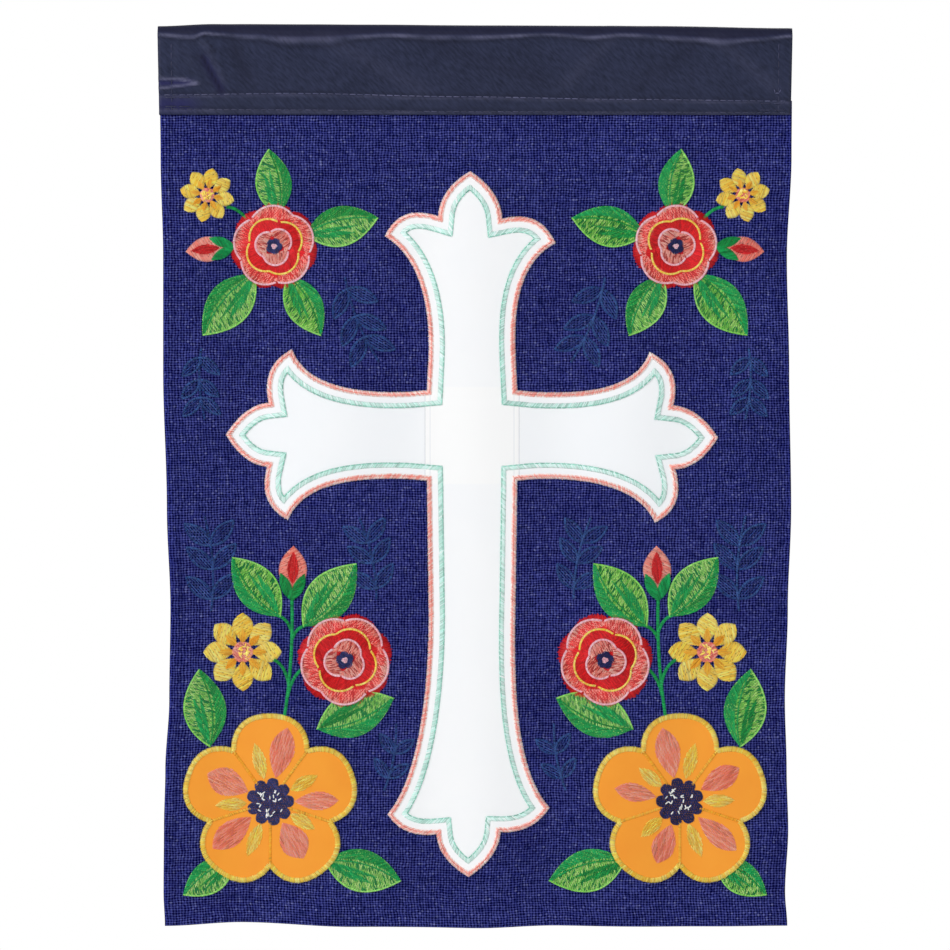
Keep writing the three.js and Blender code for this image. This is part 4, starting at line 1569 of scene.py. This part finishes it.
LIME = [dye(150, 220, 112), dye(172, 232, 130)]
WHITE = [dye(246, 246, 242), dye(236, 238, 236)]
print("gold thread as light:", [round(v, 2) for v in GOLD[0]])

# %% orange cloth
ORANGE_DYE = dye(250, 162, 34)
DEEP_ORANGE_DYE = dye(244, 148, 24)
ORANGE_PITCH = 0.55 * MM
ORANGE_CLOUD_SCALE = 60
ORANGE_CLOUD, ORANGE_BUMP, ORANGE_DEPTH = 3, 0.14, 0.1 * MM


def orange_cloth():
    cloth = Finish("orange_cloth", {"Roughness": 0.6, "Sheen Weight": 0.1})
    place = cloth.place()
    weave = cloth.part(place, "X").wave(ORANGE_PITCH) * cloth.part(place, "Z").wave(ORANGE_PITCH)
    cloud = cloth.noise(place, ORANGE_CLOUD_SCALE, 3)
    colour = cloth.blend(cloud, ORANGE_DYE, DEEP_ORANGE_DYE)
    relief = cloth.bump(weave + cloud * ORANGE_CLOUD, ORANGE_BUMP, ORANGE_DEPTH)
    cloth.set(Base_Color=colour, Normal=relief)
    return cloth.material


blossom_finish = orange_cloth()
print("orange cloth:", len(blossom_finish.node_tree.nodes), "nodes")

# %% blossoms
BLOSSOM_EDGE = 2.8 * MM
BLOSSOM_PETALS = 5
BLOSSOM_CLEFT = 0.27
HEART_SHARE = 0.27
HEART_PETALS, HEART_CLEFT = 9, 0.24
CORE_STEP = 0.45 * MM
PETAL_STRAY = 6
STREAK_START, STREAK_TIPS, STREAK_HALVES = 0.27, (0.74, 0.88), (0.1, 0.17)
STREAK_LEAN, STREAK_TURN, STREAK_SLANT = 0.62, 11, 14
STREAK_STEP = 0.55 * MM
GLINT_START, GLINT_REACH, GLINT_HALF = 0.26, 0.8, 0.075
GLINT_TURN, GLINT_SLANT = -17, -20
CLEFT_FROM, CLEFT_TO, CLEFT_WIDTH = 0.24, 0.7, 1.5 * MM
HEART_SLANT, HEART_STITCH = 35, 3 * MM


def blossom_shades(blossom, work):
    """Streaks of coral and gold on the petals, and golden lines between them."""
    size = blossom.size
    for petal in range(BLOSSOM_PETALS):
        middle = 360 * petal / BLOSSOM_PETALS + chance.uniform(-PETAL_STRAY, PETAL_STRAY)
        tip = size * chance.uniform(*STREAK_TIPS)
        half = size * chance.uniform(*STREAK_HALVES)
        streak = turned(almond(size * STREAK_START, tip, half, STREAK_LEAN), middle + STREAK_TURN)
        rows = fill(streak, middle + STREAK_SLANT, STREAK_STEP)
        blossom.sew(work, rows, SALMON, SOFT_RISE, CLOTH_TOP)
        glint = almond(size * GLINT_START, tip * GLINT_REACH, size * GLINT_HALF)
        rows = fill(turned(glint, middle + GLINT_TURN), middle + GLINT_SLANT)
        blossom.sew(work, rows, GOLD, SOFT_RISE, CLOTH_TOP)
        between = 360 * (petal + 0.5) / BLOSSOM_PETALS
        cleft = turned([(size * CLEFT_FROM, 0), (size * CLEFT_TO, 0)], between)
        blossom.sew(work, satin(cleft, CLEFT_WIDTH), AMBER, FULL_RISE, CLOTH_TOP)


for side_name, side in SPRAYS.items():
    for blossom in motifs(FLOWERS, "blossom", side):
        ring = petal_ring(blossom.size - BLOSSOM_EDGE / 2, BLOSSOM_PETALS, BLOSSOM_CLEFT)
        points = blossom.put(ring)[::side]
        cloth = cut_cloth(f"blossom_cloth_{side_name}", points, CLOTH_LIFT)
        cloth.data.materials.append(blossom_finish)
        done(cloth, "orange_cloth", *nodes_of("blossom", side_name))
        work = Needlework()
        edge = satin(ring, BLOSSOM_EDGE, closed=True)
        blossom.sew(work, edge, GOLD, HIGH_RISE, (0, CLOTH_TOP), EDGE_LOFT)
        blossom_shades(blossom, work)
        done(work.sewn(f"blossom_stitches_{side_name}"), "yellow_thread")
        work = Needlework()
        heart = petal_ring(blossom.size * HEART_SHARE, HEART_PETALS, HEART_CLEFT)
        rows = fill(heart, HEART_SLANT, CORE_STEP, HEART_STITCH)
        blossom.sew(work, rows, NAVY, PLUMP_RISE, CLOTH_TOP)
        done(work.sewn(f"heart_stitches_{side_name}"), "navy_thread", *nodes_of("heart", side_name))

# %% knots in the flowers
KNOTS = 26
KNOT_LENGTH = 1.9 * MM
KNOT_THREAD = 0.75 * MM
HEART_KNOTS = {"share": 0.62, "ground": CLOTH_TOP + 0.5 * MM, "loft": 0.45 * MM}
DAISY_KNOTS = {"share": 0.2, "ground": 0.8 * MM, "loft": 0.4 * MM}


def knots(radius):
    """Short stitches in all directions over a small disc."""
    reach = radius * np.sqrt(chance.random(KNOTS))
    angle = chance.random(KNOTS) * 2 * math.pi
    way = chance.random(KNOTS) * 2 * math.pi
    middle = ways(angle) * reach[:, None]
    half = ways(way) * KNOT_LENGTH / 2
    return middle - half, middle + half


work = Needlework()
for side in SPRAYS.values():
    for blossom in motifs(FLOWERS, "blossom", side):
        tied = knots(blossom.size * HEART_SHARE * HEART_KNOTS["share"])
        blossom.sew(work, tied, WHITE, LOW_RISE, HEART_KNOTS["ground"], HEART_KNOTS["loft"])
    for daisy in motifs(FLOWERS, "daisy", side):
        tied = knots(daisy.size * DAISY_KNOTS["share"])
        daisy.sew(work, tied, GOLD, LOW_RISE, DAISY_KNOTS["ground"], DAISY_KNOTS["loft"])
done(work.sewn("flower_knots", width=KNOT_THREAD), "white_cloth")

# %% rosettes
ROSE_PETALS, ROSE_CLEFT, ROSE_ROOT = 7, 0.1, 0.1
ROSE_WHORLS = rows_of(
    "inner outer petals turn dyes rim",
    (0.6, 0.94, 5, 0, BLUSH, PINK),
    (0.36, 0.68, 4, 50, RED, GOLD),
    (0.14, 0.44, 3, 20, BLUSH, PINK),
)
ROSE_GROUND = 0.3 * MM
WHORL_GROUND = 0.55 * MM
WHORL_STEP = 0.2 * MM
WHORL_OVERLAP = 1.25
WHORL_STRAY = 0.03
WHORL_SLANT, WHORL_STITCH = 24, 2.4 * MM
RIM_STRETCH = slice(2, CURVE_STEPS - 1)
RIM_SATIN = 1.1 * MM
RIM_ABOVE = 0.25 * MM
ROSE_CORE, ROSE_CORE_SLANT, ROSE_CORE_GROUND = (0.19, 5, 0.2), 20, 1.15 * MM
ROSE_EYE, ROSE_EYE_SLANT, ROSE_EYE_GROUND = (0.07, 3, 0.3), 50, 1.4 * MM
ROSE_STITCH = 2 * MM


def crescent(inner, outer, start, sweep):
    """Outer line and whole outline of a curled petal, thick in its middle."""
    share = np.linspace(0, 1, CURVE_STEPS + 1)
    way = ways(np.radians(start + sweep * share))
    half = (outer - inner) / 2 * np.sin(math.pi * share)
    middle = (outer + inner) / 2
    outside = way * (middle + half)[:, None]
    return outside, np.vstack([outside, (way * (middle - half)[:, None])[::-1]])


def rosette_stitches(rosette, work):
    """A ring of red petals under three whorls of curled ones, and a dark middle."""
    size = rosette.size
    ring = rays(ROSE_PETALS, ROSE_CLEFT, size * ROSE_ROOT, size)
    rosette.sew(work, ring, RED, HIGH_RISE, ROSE_GROUND)
    for level, whorl in enumerate(ROSE_WHORLS):
        ground = WHORL_GROUND + level * WHORL_STEP
        each = 360 / whorl["petals"]
        inner, outer = size * whorl["inner"], size * whorl["outer"]
        for petal in range(whorl["petals"]):
            start = whorl["turn"] + each * (petal + chance.uniform(-WHORL_STRAY, WHORL_STRAY))
            edge, shape = crescent(inner, outer, start, each * WHORL_OVERLAP)
            rows = fill(shape, start + each / 2 + WHORL_SLANT, FILL_STEP, WHORL_STITCH)
            rosette.sew(work, rows, whorl["dyes"], FLAT_RISE, ground)
            rim = satin(edge[RIM_STRETCH], RIM_SATIN)
            rosette.sew(work, rim, whorl["rim"], LOW_RISE, ground + RIM_ABOVE)
    core = fill(corolla(size, ROSE_CORE), ROSE_CORE_SLANT, CORE_STEP, ROSE_STITCH)
    rosette.sew(work, core, NAVY, FLAT_RISE, ROSE_CORE_GROUND)
    eye = fill(corolla(size, ROSE_EYE), ROSE_EYE_SLANT, CORE_STEP, ROSE_STITCH)
    rosette.sew(work, eye, PINK, LOW_RISE, ROSE_EYE_GROUND)


# %% daisies and buds, with shapes as shares of their size
FINE_STEP = 0.43 * MM
DAISY_PETALS = 8
DAISY_PETAL, DAISY_SLANT = (0.24, 1, 0.27, 0.62), 58
DAISY_ROOT, DAISY_ROOT_STITCH = (0.2, 0.62, 0.09, 0.4), 5 * MM
DAISY_MIDDLE, DAISY_MIDDLE_SLANT, DAISY_MIDDLE_STITCH = (0.27, 6, 0.08), 30, 3 * MM
BUD_BODY, BUD_SLANT = (0.12, 1, 0.26, 0.5), 64
BUD_FOLD, BUD_FOLD_SLANT, BUD_FOLD_STEP = (0.3, 0.9, 0.1, 0.45), 6, 0.48 * MM
BUD_CUP, BUD_CUP_TURN = (0, 0.55, 0.1, 0.5), 24
BUD_CUP_SLANT, BUD_CUP_STITCH = 40, 6 * MM
LONG_STITCH = 9 * MM
SECOND_GROUND = 0.45 * MM
TOP_GROUND = 0.5 * MM


def daisy_stitches(daisy, work):
    """Eight satin petals round a coral middle."""
    size = daisy.size
    for petal in range(DAISY_PETALS):
        turn = 360 // DAISY_PETALS * petal
        shape = turned(blade(size, DAISY_PETAL), turn)
        rows = fill(shape, turn + DAISY_SLANT, FINE_STEP, LONG_STITCH)
        daisy.sew(work, rows, GOLD, FULL_RISE)
        root = turned(blade(size, DAISY_ROOT), turn)
        rows = fill(root, turn, CORE_STEP, DAISY_ROOT_STITCH)
        daisy.sew(work, rows, AMBER, LOW_RISE, SECOND_GROUND)
    middle = corolla(size, DAISY_MIDDLE)
    rows = fill(middle, DAISY_MIDDLE_SLANT, FINE_STEP, DAISY_MIDDLE_STITCH)
    daisy.sew(work, rows, SALMON, FULL_RISE, TOP_GROUND)


def bud_stitches(bud, work):
    """A closed coral bud in a green cup."""
    body = fill(blade(bud.size, BUD_BODY), BUD_SLANT, FINE_STEP, LONG_STITCH)
    bud.sew(work, body, SALMON, FULL_RISE)
    fold = fill(blade(bud.size, BUD_FOLD), BUD_FOLD_SLANT, BUD_FOLD_STEP)
    bud.sew(work, fold, RED, LOW_RISE, SECOND_GROUND)
    for turn in (BUD_CUP_TURN, -BUD_CUP_TURN):
        cup = turned(blade(bud.size, BUD_CUP), turn)
        rows = fill(cup, turn + BUD_CUP_SLANT, FINE_STEP, BUD_CUP_STITCH)
        bud.sew(work, rows, DEEP_GREEN, SOFT_RISE, TOP_GROUND)


# %% leaves, with shapes as shares of their size
LEAF_HALF = 0.27
LEAF_LEAN = 0.45
LEAF_FOLD, LEAF_FOLD_END = -0.9, 0.96
LEAF_SLANT, LEAF_STITCH = 66, 2.0 * MM
LEAF_SIDE_SLANT, LEAF_SIDE_STITCH = -30, 7 * MM
LEAF_STREAK_SLANT, LEAF_STREAK_STITCH = 24, 5 * MM
LEAF_STREAKS = rows_of(
    "shape turn",
    ((0.02, 0.72, 0.03, 0.35), 3),
    ((0.04, 0.5, 0.03, 0.35), 17),
    ((0.3, 0.66, 0.03, 0.35), 11),
)
LEAF_RIM, LEAF_RIM_WIDTH = (0.985, 0.965), 0.9 * MM
LEAF_VEIN, LEAF_VEIN_WIDTH = (1, 0.72), 0.8 * MM
LEAF_SIDE_GROUND = 0.2 * MM
LEAF_STREAK_GROUND = 0.25 * MM


def leaf_stitches(leaf, work):
    """Short light stitches over the whole leaf, a deep satin side and streaks, and a pale rim."""
    size, half = leaf.size, leaf.size * LEAF_HALF
    hand = 1 if leaf.turn % 2 else -1
    light = bow((size, 0), (size * LEAF_LEAN, 2 * half * hand), (0, 0))
    deep = light * (1, -1)
    fold = bow((0, 0), (size * LEAF_LEAN, LEAF_FOLD * half * hand), (size * LEAF_FOLD_END, 0))
    body = fill(np.vstack([light[::-1], deep]), LEAF_SLANT * hand, FILL_STEP, LEAF_STITCH)
    leaf.sew(work, body, LIGHT_GREEN, FLAT_RISE)
    side = fill(np.vstack([deep, fold]), LEAF_SIDE_SLANT * hand, FINE_STEP, LEAF_SIDE_STITCH)
    leaf.sew(work, side, DEEP_GREEN, FLAT_RISE, LEAF_SIDE_GROUND)
    for streak in LEAF_STREAKS:
        shape = turned(blade(size, streak["shape"]), streak["turn"] * hand)
        slant = (streak["turn"] + LEAF_STREAK_SLANT) * hand
        rows = fill(shape, slant, FINE_STEP, LEAF_STREAK_STITCH)
        leaf.sew(work, rows, DEEP_GREEN, LOW_RISE, LEAF_STREAK_GROUND)
    leaf.sew(work, satin(light * LEAF_RIM, LEAF_RIM_WIDTH), LIME, LOW_RISE, LEAF_SIDE_GROUND)
    vein = satin(fold * LEAF_VEIN, LEAF_VEIN_WIDTH)
    leaf.sew(work, vein, DEEP_GREEN, LOW_RISE, LEAF_STREAK_GROUND)


# %% flowers and leaves of both sprays
KINDS = {
    "rosette": (FLOWERS, rosette_stitches, "red_thread"),
    "daisy": (FLOWERS, daisy_stitches, "yellow_thread"),
    "bud": (LEAVES, bud_stitches, "pink_thread"),
    "leaf": (LEAVES, leaf_stitches, "green_thread"),
}
for side_name, side in SPRAYS.items():
    for kind, (rows, stitch, slot) in KINDS.items():
        work = Needlework()
        for motif in motifs(rows, kind, side):
            stitch(motif, work)
        done(work.sewn(f"{kind}_stitches_{side_name}"), slot, *nodes_of(kind, side_name))

# %% [markdown]
# ## Stems and sprigs
# Green stems tie each spray together. Behind them are sprigs in navy thread, tone on tone, that
# show only by their shine. Both are lines, so they take satin stitch, wide for a stem and very
# narrow for the outline of a sprig's leaf.

# %% stems and sprigs
STEMS = rows_of(
    "start bend end",
    ((97, -352), (92, -322), (93, -291)),
    ((93, -308), (95, -301), (100, -299.5)),
    ((92.6, -311), (91, -306), (86.5, -304.6)),
    ((94.6, -335), (96, -325), (102, -322)),
    ((95, -340), (93, -330), (87, -326)),
    ((116, -98), (121, -92), (126, -92)),
    ((112, -112), (118, -113), (123, -112)),
)
SPRIGS = rows_of(
    "x z size turn pairs",
    (50, -291, 42, 78, 3),
    (134, -297, 48, 86, 3),
    (66, -128, 46, -112, 3),
    (139, -164, 36, -93, 3),
    (46, -388, 34, 100, 2),
)
STEM_WIDTH = 1.7 * MM
SPRIG_WIDTH = 1.15 * MM
SPRIG_BOW = (0.5, 0.1)
SPRIG_BLADE = (0, 0.36, 0.075, 0.45)
SPRIG_TURN, SPRIG_SLANT = 46, 8
SPRIG_FIRST = 0.6
SPRIG_STITCH = (1.15 * MM, 2.6 * MM)


def sprig_stitches(sprig, pairs, work):
    """A bowed rib with pairs of outlined, thinly filled leaves."""
    size = sprig.size
    rib = bow((0, 0), (size * SPRIG_BOW[0], size * SPRIG_BOW[1]), (size, 0))
    sprig.sew(work, satin(rib, SPRIG_WIDTH), SPRIG, SOFT_RISE)
    for pair in range(pairs):
        root = rib[int(CURVE_STEPS * (pair + SPRIG_FIRST) / (pairs + SPRIG_FIRST))]
        for turn in (SPRIG_TURN, -SPRIG_TURN):
            leaf = turned(blade(size, SPRIG_BLADE), turn) + root
            sprig.sew(work, satin(leaf, SPRIG_WIDTH, closed=True), SPRIG, SOFT_RISE)
            sprig.sew(work, fill(leaf, turn + SPRIG_SLANT, *SPRIG_STITCH), SPRIG, FLAT_RISE)


for side_name, side in SPRAYS.items():
    work = Needlework()
    for stem in STEMS:
        path = bow(stem["start"], stem["bend"], stem["end"]) * MM * (side, 1)
        work.lay(satin(path, STEM_WIDTH), DEEP_GREEN, FULL_RISE)
    done(work.sewn(f"stem_stitches_{side_name}"), "green_thread")
    work = Needlework()
    for row in SPRIGS:
        sprig_stitches(Motif(row, side), row["pairs"], work)
    done(work.sewn(f"sprig_stitches_{side_name}"), "navy_thread")

# %% [markdown]
# ## The sleeve's sewing
# Two rows of running stitch close the pocket and hold the panel, and one row at each end holds the
# hem. They sink into the satin, so only short lengths of thread show, on the front and the back.
# Each row is doubled at its ends, where the machine ran back over it, and one loop was left loose.

# %% sleeve sewing
SEW_STITCH = (3.0 * MM, 0.7 * MM)
SEW_THREAD = 0.6 * MM
SEW_LOFT = 0.24 * MM
SEW_POINTS = 60
SEW_END = 3 * MM
TACK_LENGTH = 14 * MM
TACK_SHIFT = 1.3 * MM
HEM_ROW_TOP, HEM_ROW_FOOT = -9 * MM, -44 * MM
# One sewing thread in three tones: lit on the upper row and the loop, in painted shade on the lower
# row, and in deeper painted shade on the doubled ends and the hems.
SEW_LIT_DYE = [dye(90, 92, 124), dye(72, 75, 106)]
SEW_SHADED_DYE = [dye(66, 68, 96), dye(56, 59, 86)]
SEW_DEEP_SHADED_DYE = [dye(54, 57, 86), dye(46, 49, 76)]
LOOP = np.array([(151.7, -32.4), (151.9, -34), (153.4, -34.9), (154.9, -34), (155.1, -32.4)]) * MM
LOOP_STITCH = (1.3 * MM, 0.1 * MM)


def sleeve_out(x, z, is_front):
    """Distance of the satin's outer face from the panel's middle."""
    roll, centre = sleeve_roll(x)
    share = np.clip((z - POCKET_FOOT) / (centre - POCKET_FOOT), 0, 1)
    return pocket_out(roll, share) + SLEEVE_WALL / 2 + sleeve_relief(x, z, is_front)


def sleeve_front(x, z, height):
    return -sleeve_out(x, z, True) - height


def sleeve_back(x, z, height):
    return sleeve_out(x, z, False) + height


def sew_line(work, path, dyes):
    work.lay(running(path, *SEW_STITCH), dyes, SUNK_RISE, loft=SEW_LOFT)


def sew_row(work, row, start, end, shift, dyes):
    """Part of a long row, or of the one that doubles it at a shift."""
    reach = np.linspace(start, end, SEW_POINTS)
    sew_line(work, np.stack([reach, eased(SEW_ROWS, "x", row, reach) + shift], 1), dyes)


def sleeve_rows():
    """The two long rows, their doubled ends and the two hems."""
    work = Needlework()
    last = SLEEVE_HALF - SEW_END
    for row, shift, dyes in (("upper", -TACK_SHIFT, SEW_LIT_DYE), ("lower", TACK_SHIFT, SEW_SHADED_DYE)):
        sew_row(work, row, -last, last, 0, dyes)
        for end in (-1, 1):
            sew_row(work, row, end * last, end * (last - TACK_LENGTH), shift, SEW_DEEP_SHADED_DYE)
    for end in (-1, 1):
        hem = end * (SLEEVE_HALF - END_HEM)
        sew_line(work, np.array([(hem, HEM_ROW_TOP), (hem, HEM_ROW_FOOT)]), SEW_DEEP_SHADED_DYE)
    return work


work = sleeve_rows()
work.lay(running(LOOP, *LOOP_STITCH), SEW_LIT_DYE, LOW_RISE)
done(work.sewn("sleeve_sewing_front", sleeve_front, SEW_THREAD), "sleeve_satin")
done(sleeve_rows().sewn("sleeve_sewing_back", sleeve_back, -SEW_THREAD), "sleeve_satin")
